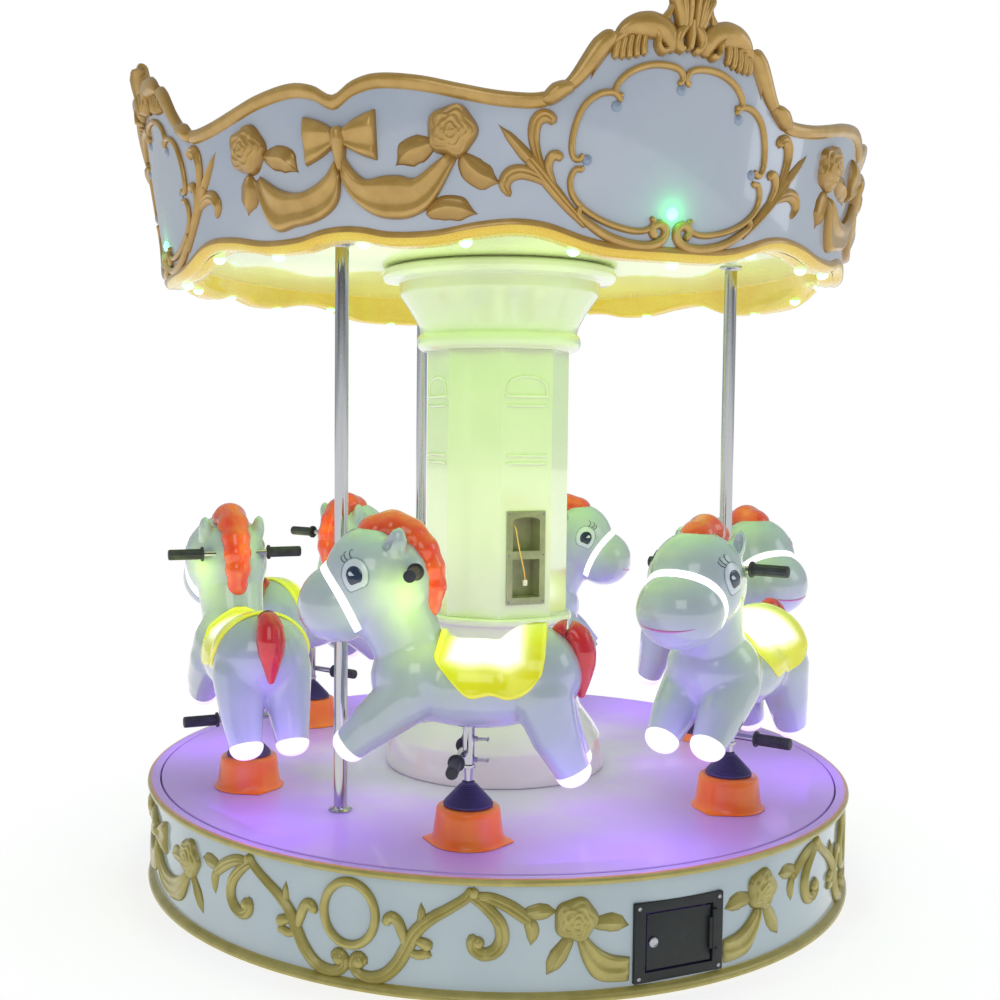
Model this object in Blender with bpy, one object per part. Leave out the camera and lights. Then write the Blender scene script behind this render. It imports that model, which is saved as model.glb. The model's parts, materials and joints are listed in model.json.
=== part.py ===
"""A small fairground carousel: drum base, turntable, column, gilded crown and six ponies.

Units are metres, +Z is up, and the floor is z = 0. Angles are in degrees, measured round the
turning axis from the front (-Y) towards +X, so polar(r, 0, z) is the point in front. The
service door and one medallion of the crown face the front. The ponies run clockwise as seen
from above.
"""

import math

import bmesh
import bpy
from mathutils import Matrix, Vector

# Gaps between pieces that touch, and between a moving piece and its neighbour
SEAT_GAP = 0.0003
PIN_GAP = 0.0006
SOCKET_GAP = 0.0009
RUNNING_GAP = 0.008

# Drum base
SKIRT_RADIUS = 1.070
SKIRT_WALL = 0.006
RIM_OUTER = 1.100
FOOT_OUTER = 1.110
DECK_TOP = 0.306
RIM_DEPTH = 0.024
RIM_INNER = 1.057
SKIRT_NAMES = ("front", "right", "back", "left")
SKIRT_STEPS = 12

# Frame under the deck
BEAM_WIDTH = 0.050
BEAM_LENGTH = 1.0615
HUB_RADIUS = 0.160
POST_RADIUS = 0.070
SPIGOT_RADIUS = 0.030
SPIGOT_HEIGHT = 0.026

# Service door in the front of the skirt
DOOR_FRAME_WIDTH = 0.255
DOOR_FRAME_HEIGHT = 0.199
DOOR_FRAME_FOOT = 0.029
DOOR_FRAME_BAR = 0.0295
DOOR_FRAME_FRONT = 1.0785
DOOR_FRAME_BACK = 1.045
LEAF_CLEARANCE = 0.005
LEAF_THICKNESS = 0.003
LEAF_FRONT = 1.0765
HINGE_X = 0.097
HINGE_Y = -1.0830
KNUCKLE_RADIUS = 0.004
LOCK_RADIUS = 0.013
LOCK_X = -0.076

# Deck and what stands on it
DECK_THICKNESS = 0.020
DECK_RADIUS = RIM_INNER - RUNNING_GAP
PONY_COUNT = 6
PONY_RADIUS = 0.812
FIRST_PONY_ANGLE = -30.0
# How far each pony stands below the first one, as their cranks hold them in the photograph
PONY_DROPS = (0.0, 0.026, 0.030, 0.035, 0.035, 0.014)
POLE_RADIUS = 0.719
POLE_PLACES = (("left", -62.0), ("right", 58.0), ("back", 178.0))
POLE_TUBE = 0.019
POLE_FLANGE = 0.034
POLE_FLANGE_THICKNESS = 0.006

# Column
PLINTH_RADIUS = 0.352
PLINTH_SHOULDER = 0.440
LEDGE_RADIUS = 0.242
LEDGE_FOOT = 0.771
LEDGE_TOP = 0.797
SHAFT_TOP = 1.620
SHAFT_CORNER = 0.2255
SHAFT_WALL = 0.008
CAPITAL_DISC = 0.373
CAPITAL_STEP = 0.315
CAPITAL_NECK = 0.247
CAPITAL_TORUS = 0.260

# Control panel let into the front face of the column
PANEL_WIDTH = 0.131
PANEL_FOOT = 0.840
PANEL_TOP = 1.127
PANEL_FLANGE = 0.0055
PANEL_DEPTH = 0.062
WINDOW_HALF = 0.046
LOWER_WINDOW = (0.861, 0.979)
UPPER_WINDOW = (1.004, 1.096)
WINDOW_ARCH = 0.0125

# Loose lead that hangs out of the upper window
LEAD_DIAMETER = 0.004
LEAD_ROUTE = (
    (-0.0370, -0.1707, 1.0880),
    (-0.0370, -0.1800, 1.0879),
    (-0.0370, -0.1900, 1.0868),
    (-0.0370, -0.2000, 1.0838),
    (-0.0369, -0.2090, 1.0780),
    (-0.0364, -0.2155, 1.0695),
    (-0.0354, -0.2188, 1.0590),
    (-0.0334, -0.2200, 1.0450),
    (-0.0304, -0.2204, 1.0280),
    (-0.0262, -0.2206, 1.0080),
    (-0.0212, -0.2206, 0.9880),
    (-0.0160, -0.2205, 0.9680),
    (-0.0112, -0.2203, 0.9480),
    (-0.0078, -0.2201, 0.9300),
    (-0.0066, -0.2200, 0.9170),
)
LEAD_POINTS = 30
GLAND_RADIUS = 0.0045
CONNECTOR_SIZE = (0.013, 0.008, 0.018)

# Canopy
CEILING = 1.880
CEILING_THICKNESS = 0.018
CROWN_FOOT_RADIUS = 1.028
CROWN_FOOT = 1.800
CROWN_FLARE = 0.150
CROWN_WALL = 0.012
CROWN_STEPS = 32
CROWN_NAMES = SKIRT_NAMES
# The crown as a whole stands this many degrees round from the column under it
CROWN_TURN = -2.0
# Height of the upper and lower outline at angles from the middle of a medallion
CROWN_TOP_OUTLINE = (
    (0.0, 2.390), (2.2, 2.382), (3.6, 2.345), (5.0, 2.330), (7.2, 2.318), (9.9, 2.285),
    (12.7, 2.228), (14.5, 2.192), (16.5, 2.163), (18.5, 2.150), (21.0, 2.149), (24.5, 2.156),
    (28.5, 2.171), (33.5, 2.192), (39.0, 2.203), (42.2, 2.191), (45.0, 2.164),
)
CROWN_FOOT_OUTLINE = (
    (0.0, 1.784), (8.0, 1.787), (12.0, 1.800), (17.0, 1.828), (21.0, 1.837), (26.0, 1.830),
    (32.0, 1.812), (38.0, 1.812), (42.0, 1.826), (45.0, 1.830),
)

# Pony stand: flared pot with two pointed ears, rubber gaiter, stem with its sleeve and foot rest
POT_FOOT_RADIUS = 0.103
POT_EAR_RADIUS = 0.1205
POT_EAR_SPREAD = 24.0
POT_TOP_RADIUS = 0.084
POT_HEIGHT = 0.094
POT_SIDES = 20
GAITER_RADIUS = 0.065
GAITER_HEIGHT = 0.062
STEM_RADIUS = 0.011
STEM_FOOT = 0.180
SLEEVE_RADIUS = 0.0155
SLEEVE_FOOT = 0.500
SLEEVE_TOP = 0.700
BOLT_HEIGHTS = (0.519, 0.574)
BOLT_REACH = 0.050
FOOT_REST_FORWARD = 0.024
FOOT_REST_HEIGHT = 0.532
FOOT_REST_HALF = 0.190
FOOT_GRIP_INNER = 0.088
BAR_RADIUS = 0.009
GRIP_RADIUS = 0.0165

# Pony, in its own frame: x forward from the stem, y outwards, z above the floor
HANDLE_FORWARD = 0.136
HANDLE_HEIGHT = 1.018
HANDLE_HALF = 0.204
HANDLE_GRIP_INNER = 0.100
PONY_VOXEL = 0.011
PONY_KEEP = 0.021


def polar(radius, angle, height):
    """The point at this radius and angle round the turning axis."""
    turn = math.radians(angle)
    return Vector((radius * math.sin(turn), -radius * math.cos(turn), height))


def clear_scene():
    """Remove the startup scene's objects."""
    for obj in list(bpy.data.objects):
        bpy.data.objects.remove(obj, do_unlink=True)


def finish(name, colour, roughness, metallic=0.0):
    """A Principled BSDF material of one colour."""
    material = bpy.data.materials.new(name)
    material.use_nodes = True
    shader = material.node_tree.nodes["Principled BSDF"]
    shader.inputs["Base Color"].default_value = (*colour, 1.0)
    shader.inputs["Roughness"].default_value = roughness
    shader.inputs["Metallic"].default_value = metallic
    return material


def make_finishes():
    """Every finish of the carousel, by name."""
    return {
        "gelcoat": finish("white gelcoat", (0.80, 0.83, 0.88), 0.18),
        "crown": finish("pearl white gelcoat", (0.76, 0.78, 0.86), 0.20),
        "deck": finish("deck gelcoat", (0.82, 0.80, 0.84), 0.30),
        "column": finish("column gelcoat", (0.84, 0.85, 0.78), 0.20),
        "pony": finish("pony gelcoat", (0.85, 0.86, 0.85), 0.15),
        "steel": finish("painted steel", (0.05, 0.05, 0.055), 0.45, 0.0),
        "frame": finish("primed steel", (0.22, 0.22, 0.23), 0.55, 0.0),
        "chrome": finish("polished stainless steel", (0.77, 0.78, 0.80), 0.10, 1.0),
        "zinc": finish("zinc plated steel", (0.62, 0.62, 0.64), 0.28, 1.0),
        "rubber": finish("black rubber", (0.03, 0.03, 0.035), 0.70),
        "pot": finish("orange moulded plastic", (0.95, 0.16, 0.03), 0.30),
        "lead": finish("yellow lead", (0.85, 0.45, 0.08), 0.45),
        "plug": finish("white nylon", (0.85, 0.83, 0.76), 0.40),
    }


def new_object(name, mesh_builder, material, smooth_angle=35.0):
    """Put a finished bmesh into the scene as one named object with one material."""
    bmesh.ops.remove_doubles(mesh_builder, verts=mesh_builder.verts, dist=1e-6)
    bmesh.ops.recalc_face_normals(mesh_builder, faces=mesh_builder.faces)
    mesh = bpy.data.meshes.new(name)
    mesh_builder.to_mesh(mesh)
    mesh_builder.free()
    mesh.shade_smooth()
    mesh.set_sharp_from_angle(angle=math.radians(smooth_angle))
    mesh.materials.append(material)
    obj = bpy.data.objects.new(name, mesh)
    bpy.context.scene.collection.objects.link(obj)
    return obj


def loft(sections, closed):
    """Skin equal loops of points, either as a closed ring or with a cap at each end."""
    build = bmesh.new()
    loops = [[build.verts.new(point) for point in section] for section in sections]
    count = len(loops[0])
    pairs = list(zip(loops, loops[1:]))
    if closed:
        pairs.append((loops[-1], loops[0]))
    for low, high in pairs:
        for index in range(count):
            after = (index + 1) % count
            build.faces.new((low[index], low[after], high[after], high[index]))
    if not closed:
        build.faces.new(loops[0])
        build.faces.new(reversed(loops[-1]))
    return build


def spun(profile, sides, start=0.0):
    """A solid of revolution about Z from (radius, height) pairs whose ends lie on the axis."""
    build = bmesh.new()
    turn = Matrix.Rotation(math.radians(start), 4, "Z")
    verts = [build.verts.new(turn @ Vector((radius, 0.0, height))) for radius, height in profile]
    edges = [build.edges.new(pair) for pair in zip(verts, verts[1:])]
    bmesh.ops.spin(
        build, geom=verts + edges, cent=(0, 0, 0), axis=(0, 0, 1),
        angle=math.tau, steps=sides, use_merge=True,
    )
    bmesh.ops.remove_doubles(build, verts=build.verts, dist=1e-6)
    return build


def spun_ring(profile, sides, start=0.0):
    """A ring of revolution about Z from a closed loop of (radius, height) pairs."""
    sections = []
    for step in range(sides):
        turn = Matrix.Rotation(math.radians(start) + math.tau * step / sides, 4, "Z")
        sections.append([turn @ Vector((radius, 0.0, height)) for radius, height in profile])
    return loft(sections, closed=True)


def box(low, high):
    """A closed box between two corners."""
    build = bmesh.new()
    size = Vector(high) - Vector(low)
    bmesh.ops.create_cube(build, size=1.0)
    bmesh.ops.scale(build, vec=size, verts=build.verts)
    bmesh.ops.translate(build, vec=(Vector(high) + Vector(low)) / 2, verts=build.verts)
    return build


def rod(start, end, radius, sides=12):
    """A closed round bar between two points."""
    start, end = Vector(start), Vector(end)
    build = bmesh.new()
    bmesh.ops.create_cone(
        build, cap_ends=True, segments=sides, radius1=radius, radius2=radius,
        depth=(end - start).length,
    )
    facing = (end - start).to_track_quat("Z", "Y").to_matrix().to_4x4()
    place = Matrix.Translation((start + end) / 2) @ facing
    bmesh.ops.transform(build, matrix=place, verts=build.verts)
    return build


def combine(target, builds, operation):
    """Apply a Boolean with each closed bmesh to the object's mesh, and keep only the result."""
    for number, build in enumerate(builds):
        bmesh.ops.recalc_face_normals(build, faces=build.faces)
        mesh = bpy.data.meshes.new(f"{target.name}_tool_{number}")
        build.to_mesh(mesh)
        build.free()
        tool = bpy.data.objects.new(mesh.name, mesh)
        tool.hide_render = True
        tool.display_type = "WIRE"
        bpy.context.scene.collection.objects.link(tool)
        modifier = target.modifiers.new(f"{operation} {number}", "BOOLEAN")
        modifier.operation = operation
        modifier.object = tool
        bake(target)
        bpy.data.objects.remove(tool, do_unlink=True)


def bake(obj):
    """Replace the object's mesh by what its modifiers give, and drop the modifiers."""
    graph = bpy.context.evaluated_depsgraph_get()
    made = bpy.data.meshes.new_from_object(obj.evaluated_get(graph))
    obj.modifiers.clear()
    obj.data = made


def outline_height(outline, angle):
    """Height on a smooth outline that repeats each quarter turn and mirrors about 0 degrees."""
    folded = abs((angle + 45.0) % 90.0 - 45.0)
    last = len(outline) - 1
    for index in range(last):
        (left, low), (right, high) = outline[index:index + 2]
        if folded > right:
            continue
        width = right - left
        share = (folded - left) / width
        slopes = []
        for knot in (index, index + 1):
            if knot in (0, last):
                slopes.append(0.0)
                continue
            before, after = outline[knot - 1], outline[knot + 1]
            slopes.append((after[1] - before[1]) / (after[0] - before[0]) * width)
        return (
            low * (1 + 2 * share) * (1 - share) ** 2
            + slopes[0] * share * (1 - share) ** 2
            + high * share ** 2 * (3 - 2 * share)
            - slopes[1] * share ** 2 * (1 - share)
        )
    return outline[-1][1]


def quarter_angles(middle, steps):
    """Section angles of a quarter ring, short of its joints by half a seat gap."""
    trim = math.degrees(SEAT_GAP / 2 / RIM_OUTER)
    first, last = middle - 45.0 + trim, middle + 45.0 - trim
    return [first + (last - first) * step / steps for step in range(steps + 1)]


def skirt_profile():
    """Section through the drum's wall with its foot bead and its rolled rim."""
    inner = SKIRT_RADIUS - SKIRT_WALL
    rim_foot = DECK_TOP - RIM_DEPTH
    return (
        (inner, 0.0),
        (FOOT_OUTER - 0.006, 0.0),
        (FOOT_OUTER, 0.010),
        (FOOT_OUTER - 0.012, 0.026),
        (SKIRT_RADIUS, 0.034),
        (SKIRT_RADIUS, rim_foot),
        (RIM_OUTER - 0.006, rim_foot + 0.001),
        (RIM_OUTER, rim_foot + 0.012),
        (RIM_OUTER - 0.008, DECK_TOP - 0.001),
        (RIM_INNER + 0.006, DECK_TOP),
        (RIM_INNER, DECK_TOP - 0.006),
        (RIM_INNER, rim_foot - 0.002),
        (inner, rim_foot - 0.008),
    )


def make_skirt(finishes):
    """Four quarter segments of the drum, the front one cut for the service door."""
    profile = skirt_profile()
    for number, side in enumerate(SKIRT_NAMES):
        sections = [
            [polar(radius, angle, height) for radius, height in profile]
            for angle in quarter_angles(90.0 * number, SKIRT_STEPS)
        ]
        segment = new_object(f"skirt_{side}", loft(sections, closed=False), finishes["gelcoat"])
        if side == "front":
            half = DOOR_FRAME_WIDTH / 2 + SEAT_GAP
            low = (-half, -FOOT_OUTER, DOOR_FRAME_FOOT - SEAT_GAP)
            high = (half, -DOOR_FRAME_BACK, DOOR_FRAME_FOOT + DOOR_FRAME_HEIGHT + SEAT_GAP)
            combine(segment, [box(low, high)], "DIFFERENCE")


def make_base_frame(finishes):
    """Hub, post and spigot that carry the turntable, with four beams out to the skirt."""
    post_top = DECK_TOP - DECK_THICKNESS - SEAT_GAP
    spigot_top = DECK_TOP + SPIGOT_HEIGHT
    profile = (
        (0.0, spigot_top),
        (SPIGOT_RADIUS, spigot_top),
        (SPIGOT_RADIUS, post_top),
        (POST_RADIUS, post_top),
        (POST_RADIUS, BEAM_WIDTH),
        (HUB_RADIUS, BEAM_WIDTH),
        (HUB_RADIUS, 0.0),
        (0.0, 0.0),
    )
    frame = new_object("base_frame", spun(profile, 24), finishes["frame"])
    beams = []
    for angle in (45.0, 135.0):
        beam = box((-BEAM_LENGTH, -BEAM_WIDTH / 2, 0.0), (BEAM_LENGTH, BEAM_WIDTH / 2, BEAM_WIDTH))
        bmesh.ops.rotate(
            beam, cent=(0, 0, 0), matrix=Matrix.Rotation(math.radians(angle), 3, "Z"),
            verts=beam.verts,
        )
        beams.append(beam)
    combine(frame, beams, "UNION")


def make_service_door(finishes):
    """Steel door frame with hinge lugs, and the leaf that swings on its right edge."""
    half = DOOR_FRAME_WIDTH / 2
    top = DOOR_FRAME_FOOT + DOOR_FRAME_HEIGHT
    frame = new_object(
        "door_frame",
        box((-half, -DOOR_FRAME_FRONT, DOOR_FRAME_FOOT), (half, -DOOR_FRAME_BACK, top)),
        finishes["steel"],
    )
    inner_half = half - DOOR_FRAME_BAR
    inner_low = DOOR_FRAME_FOOT + DOOR_FRAME_BAR - 0.005
    inner_high = top - DOOR_FRAME_BAR + 0.005
    combine(
        frame,
        [box((-inner_half, -1.2, inner_low), (inner_half, -1.0, inner_high))],
        "DIFFERENCE",
    )
    middle = (inner_low + inner_high) / 2
    knuckles = (middle - 0.060, middle - 0.040, middle + 0.040, middle + 0.060)
    lugs = []
    for low, high in (knuckles[:2], knuckles[2:]):
        lugs.append(box(
            (HINGE_X + 0.0015, HINGE_Y - KNUCKLE_RADIUS, low),
            (HINGE_X + 0.010, -DOOR_FRAME_FRONT + 0.002, high),
        ))
        lugs.append(rod((HINGE_X, HINGE_Y, low), (HINGE_X, HINGE_Y, high), KNUCKLE_RADIUS))
    combine(frame, lugs, "UNION")

    leaf_back = -(LEAF_FRONT - LEAF_THICKNESS)
    leaf_mesh = box(
        (-inner_half + LEAF_CLEARANCE, -LEAF_FRONT, inner_low + LEAF_CLEARANCE),
        (HINGE_X - 0.0055, leaf_back, inner_high - LEAF_CLEARANCE),
    )
    hinge = Matrix.Translation((HINGE_X, HINGE_Y, 0.0))
    bmesh.ops.transform(leaf_mesh, matrix=hinge.inverted(), verts=leaf_mesh.verts)
    leaf = new_object("door_leaf", leaf_mesh, finishes["steel"])
    low, high = knuckles[1] + SEAT_GAP, knuckles[2] - SEAT_GAP
    strap = box((-0.012, -0.001, low), (0.0, -LEAF_FRONT - HINGE_Y + 0.001, high))
    barrel = rod((0.0, 0.0, low), (0.0, 0.0, high), KNUCKLE_RADIUS)
    combine(leaf, [strap, barrel], "UNION")
    leaf.location = (HINGE_X, HINGE_Y, 0.0)

    seat = -LEAF_FRONT - SEAT_GAP - HINGE_Y
    lock_x = LOCK_X - HINGE_X
    lock = rod((lock_x, seat, middle), (lock_x, seat - 0.006, middle), LOCK_RADIUS, 16)
    lock = new_object("door_lock", lock, finishes["zinc"])
    lock.location = leaf.location


def pony_angle(number):
    """Angle of a pony's stem round the turning axis, numbered from 0."""
    return FIRST_PONY_ANGLE - number * 360.0 / PONY_COUNT


def make_deck(finishes):
    """The turning floor, bored for the spigot and the six stems."""
    low = DECK_TOP - DECK_THICKNESS
    bore = SPIGOT_RADIUS + PIN_GAP
    profile = (
        (bore, low), (DECK_RADIUS, low), (DECK_RADIUS, DECK_TOP), (bore, DECK_TOP),
    )
    deck = new_object("deck", spun_ring(profile, 48), finishes["deck"])
    holes = []
    for number in range(PONY_COUNT):
        place = polar(PONY_RADIUS, pony_angle(number), 0.0)
        holes.append(rod(
            place + Vector((0, 0, low - 0.01)), place + Vector((0, 0, DECK_TOP + 0.01)), 0.024,
        ))
    combine(deck, holes, "DIFFERENCE")


def make_column(finishes):
    """Round plinth, octagonal hollow shaft and coved capital."""
    foot = DECK_TOP + SEAT_GAP
    recess = SPIGOT_RADIUS + 0.010
    plinth = (
        (0.0, LEDGE_TOP),
        (LEDGE_RADIUS - 0.006, LEDGE_TOP),
        (LEDGE_RADIUS, LEDGE_TOP - 0.006),
        (LEDGE_RADIUS, LEDGE_FOOT + 0.004),
        (LEDGE_RADIUS - 0.010, LEDGE_FOOT),
        (LEDGE_RADIUS - 0.006, 0.660),
        (0.252, 0.560),
        (0.278, 0.490),
        (0.318, PLINTH_SHOULDER),
        (0.340, 0.405),
        (PLINTH_RADIUS - 0.006, 0.345),
        (PLINTH_RADIUS, 0.325),
        (PLINTH_RADIUS, foot),
        (recess, foot),
        (recess, foot + SPIGOT_HEIGHT + 0.010),
        (0.0, foot + SPIGOT_HEIGHT + 0.010),
    )
    new_object("column_plinth", spun(plinth, 28), finishes["column"])

    corners = [polar(SHAFT_CORNER, 22.5 + 45.0 * corner, 0.0) for corner in range(8)]
    inner = (SHAFT_CORNER - SHAFT_WALL) / SHAFT_CORNER
    low, high = LEDGE_TOP + SEAT_GAP, SHAFT_TOP - SEAT_GAP
    sections = []
    for corner in corners:
        sections.append([
            Vector((corner.x, corner.y, low)),
            Vector((corner.x, corner.y, high)),
            Vector((corner.x * inner, corner.y * inner, high)),
            Vector((corner.x * inner, corner.y * inner, low)),
        ])
    shaft = new_object("column_shaft", loft(sections, closed=True), finishes["column"])
    half = PANEL_WIDTH / 2 - 0.006
    opening = box(
        (-half, -SHAFT_CORNER, PANEL_FOOT + 0.010), (half, -0.15, PANEL_TOP - 0.010),
    )
    combine(shaft, [opening], "DIFFERENCE")

    top = CEILING - SEAT_GAP
    capital = (
        (0.0, top),
        (CAPITAL_DISC - 0.025, top),
        (CAPITAL_DISC - 0.025, top - 0.006),
        (CAPITAL_DISC - 0.005, top - 0.008),
        (CAPITAL_DISC, top - 0.022),
        (CAPITAL_DISC, 1.848),
        (CAPITAL_DISC - 0.010, 1.836),
        (CAPITAL_STEP, 1.832),
        (CAPITAL_STEP, 1.794),
        (0.292, 1.764),
        (0.268, 1.728),
        (CAPITAL_NECK + 0.003, 1.700),
        (CAPITAL_NECK, 1.672),
        (CAPITAL_TORUS - 0.004, 1.664),
        (CAPITAL_TORUS, 1.648),
        (CAPITAL_TORUS - 0.004, 1.632),
        (CAPITAL_NECK, SHAFT_TOP),
        (0.0, SHAFT_TOP),
    )
    new_object("column_capital", spun(capital, 28), finishes["column"])


def shaft_face():
    """Distance of the column's flat faces from the axis."""
    return SHAFT_CORNER * math.cos(math.radians(22.5))


def make_control_panel(finishes):
    """Black panel with two recessed windows, and the gland that the lead comes out of."""
    face = shaft_face()
    half = PANEL_WIDTH / 2
    tub = half - 0.006 - SEAT_GAP
    back = -(face - PANEL_DEPTH)
    panel = new_object(
        "control_panel",
        box((-tub, -face - 0.001, PANEL_FOOT + 0.010 + SEAT_GAP),
            (tub, back, PANEL_TOP - 0.010 - SEAT_GAP)),
        finishes["steel"],
    )
    flange = box(
        (-half, -face - PANEL_FLANGE, PANEL_FOOT), (half, -face - SEAT_GAP, PANEL_TOP),
    )
    combine(panel, [flange], "UNION")
    floor = back - 0.006
    windows = [
        box((-WINDOW_HALF, -0.3, low), (WINDOW_HALF, floor, high))
        for low, high in (LOWER_WINDOW, UPPER_WINDOW)
    ]
    arch = rod((0.0, -0.3, 0.0), (0.0, floor, 0.0), WINDOW_HALF, 24)
    flatten = Matrix.Diagonal((1.0, 1.0, WINDOW_ARCH / WINDOW_HALF, 1.0))
    lift = Matrix.Translation((0.0, 0.0, UPPER_WINDOW[1] - 0.0002))
    bmesh.ops.transform(arch, matrix=lift @ flatten, verts=arch.verts)
    combine(panel, windows + [arch], "DIFFERENCE")
    start = Vector(LEAD_ROUTE[0])
    gland = rod(
        (start.x, floor + 0.002, start.z), (start.x, start.y + SEAT_GAP, start.z), GLAND_RADIUS, 10,
    )
    combine(panel, [gland], "UNION")


def smooth_route(route, count):
    """Points at even steps of a smooth curve through the route."""
    points = [Vector(point) for point in route]
    padded = [2 * points[0] - points[1], *points, 2 * points[-1] - points[-2]]
    made = []
    for step in range(count):
        along = step * (len(points) - 1) / (count - 1)
        index = min(int(along), len(points) - 2)
        share = along - index
        before, start, end, after = padded[index:index + 4]
        made.append(0.5 * (
            2 * start
            + (end - before) * share
            + (2 * before - 5 * start + 4 * end - after) * share ** 2
            + (3 * start - before - 3 * end + after) * share ** 3
        ))
    return made


def make_lead(finishes):
    """The loose lead, a round tube along its route, and the connector on its end."""
    curve = bpy.data.curves.new("panel_lead", "CURVE")
    curve.dimensions = "3D"
    curve.bevel_depth = LEAD_DIAMETER / 2
    curve.bevel_resolution = 2
    curve.use_fill_caps = True
    curve.materials.append(finishes["lead"])
    points = smooth_route(LEAD_ROUTE, LEAD_POINTS)
    spline = curve.splines.new("POLY")
    spline.points.add(len(points) - 1)
    for knot, point in zip(spline.points, points):
        knot.co = (*point, 1.0)
    lead = bpy.data.objects.new("panel_lead", curve)
    bpy.context.scene.collection.objects.link(lead)

    end = points[-1]
    width, depth, height = CONNECTOR_SIZE
    connector = box(
        (end.x - width / 2, end.y - depth / 2, end.z - SEAT_GAP - height),
        (end.x + width / 2, end.y + depth / 2, end.z - SEAT_GAP),
    )
    new_object("lead_connector", connector, finishes["plug"])


def crown_radius(height):
    """Outer radius of the flared crown at this height."""
    return CROWN_FOOT_RADIUS + CROWN_FLARE * (height - CROWN_FOOT)


def crown_section(angle):
    """Loop of points through the crown's wall, its rolled foot bead and its top bead."""
    foot = outline_height(CROWN_FOOT_OUTLINE, angle - CROWN_TURN)
    top = outline_height(CROWN_TOP_OUTLINE, angle - CROWN_TURN)
    loop = (
        (-0.034, foot + 0.016),
        (-0.016, foot),
        (0.006, foot + 0.006),
        (0.009, foot + 0.022),
        (0.000, foot + 0.034),
        (0.000, top - 0.042),
        (0.012, top - 0.028),
        (0.010, top - 0.006),
        (-0.006, top),
        (-0.020, top - 0.020),
        (-CROWN_WALL, top - 0.044),
        (-CROWN_WALL, foot + 0.034),
    )
    return [polar(crown_radius(height) + offset, angle, height) for offset, height in loop]


def make_canopy(finishes):
    """Flat ceiling and the four panels of the flared crown that ring it."""
    low, high = CEILING, CEILING + CEILING_THICKNESS
    edge = [crown_radius(height) - CROWN_WALL - 0.0005 for height in (low, high)]
    sides = 4 * CROWN_STEPS
    profile = ((0.0, high), (edge[1], high), (edge[0], low), (0.0, low))
    new_object("ceiling_panel", spun(profile, sides, CROWN_TURN), finishes["column"])
    for number, side in enumerate(CROWN_NAMES):
        middle = 90.0 * number + CROWN_TURN
        sections = [crown_section(angle) for angle in quarter_angles(middle, CROWN_STEPS)]
        new_object(f"crown_{side}", loft(sections, closed=False), finishes["crown"])


def make_poles(finishes):
    """Three stainless poles with a flange at the deck and at the ceiling."""
    low, high = DECK_TOP + SEAT_GAP, CEILING - SEAT_GAP
    profile = (
        (0.0, high),
        (POLE_FLANGE, high),
        (POLE_FLANGE, high - POLE_FLANGE_THICKNESS),
        (POLE_TUBE, high - POLE_FLANGE_THICKNESS),
        (POLE_TUBE, low + POLE_FLANGE_THICKNESS),
        (POLE_FLANGE, low + POLE_FLANGE_THICKNESS),
        (POLE_FLANGE, low),
        (0.0, low),
    )
    for side, angle in POLE_PLACES:
        pole = new_object(f"pole_{side}", spun(profile, 12), finishes["chrome"])
        pole.location = polar(POLE_RADIUS, angle, 0.0)


def pot_mesh():
    """A flared pot whose thin foot runs out to a pointed ear on each side."""
    foot = DECK_TOP + SEAT_GAP
    top = DECK_TOP + POT_HEIGHT
    bore = STEM_RADIUS + PIN_GAP
    sections = []
    for step in range(POT_SIDES):
        angle = 360.0 * step / POT_SIDES
        from_ear = abs((angle + 90.0) % 180.0 - 90.0)
        ear = max(0.0, 1.0 - from_ear / POT_EAR_SPREAD)
        rim = POT_FOOT_RADIUS + (POT_EAR_RADIUS - POT_FOOT_RADIUS) * ear
        profile = (
            (bore, foot),
            (rim, foot),
            (rim, foot + 0.003),
            (POT_FOOT_RADIUS - 0.007, foot + 0.007),
            (POT_TOP_RADIUS, top - 0.008),
            (POT_TOP_RADIUS - 0.008, top),
            (bore, top),
        )
        turn = Matrix.Rotation(math.radians(angle), 4, "Z")
        sections.append([turn @ Vector((radius, 0.0, height)) for radius, height in profile])
    return loft(sections, closed=True)


def make_pony_stands(finishes):
    """Pot and gaiter of each pony, standing on the deck round its stem."""
    bore = STEM_RADIUS + PIN_GAP
    low = DECK_TOP + POT_HEIGHT + SEAT_GAP
    gaiter = (
        (bore, low),
        (GAITER_RADIUS, low),
        (GAITER_RADIUS, low + 0.008),
        (STEM_RADIUS + 0.005, low + GAITER_HEIGHT),
        (bore, low + GAITER_HEIGHT),
    )
    for number in range(PONY_COUNT):
        angle = pony_angle(number)
        place = polar(PONY_RADIUS, angle, 0.0)
        pot = new_object(f"pot_{number + 1}", pot_mesh(), finishes["pot"])
        pot.location = place
        pot.rotation_euler = (0.0, 0.0, math.radians(180.0 + angle))
        name = f"gaiter_{number + 1}"
        new_object(name, spun_ring(gaiter, 12), finishes["rubber"]).location = place


def ball(centre, radii, tilt=0.0):
    """An ellipsoid, pitched about the sideways axis by a tilt in degrees, nose down."""
    build = bmesh.new()
    bmesh.ops.create_uvsphere(build, u_segments=24, v_segments=16, radius=1.0)
    place = (
        Matrix.Translation(centre)
        @ Matrix.Rotation(math.radians(tilt), 4, "Y")
        @ Matrix.Diagonal((*radii, 1.0))
    )
    bmesh.ops.transform(build, matrix=place, verts=build.verts)
    return build


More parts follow.
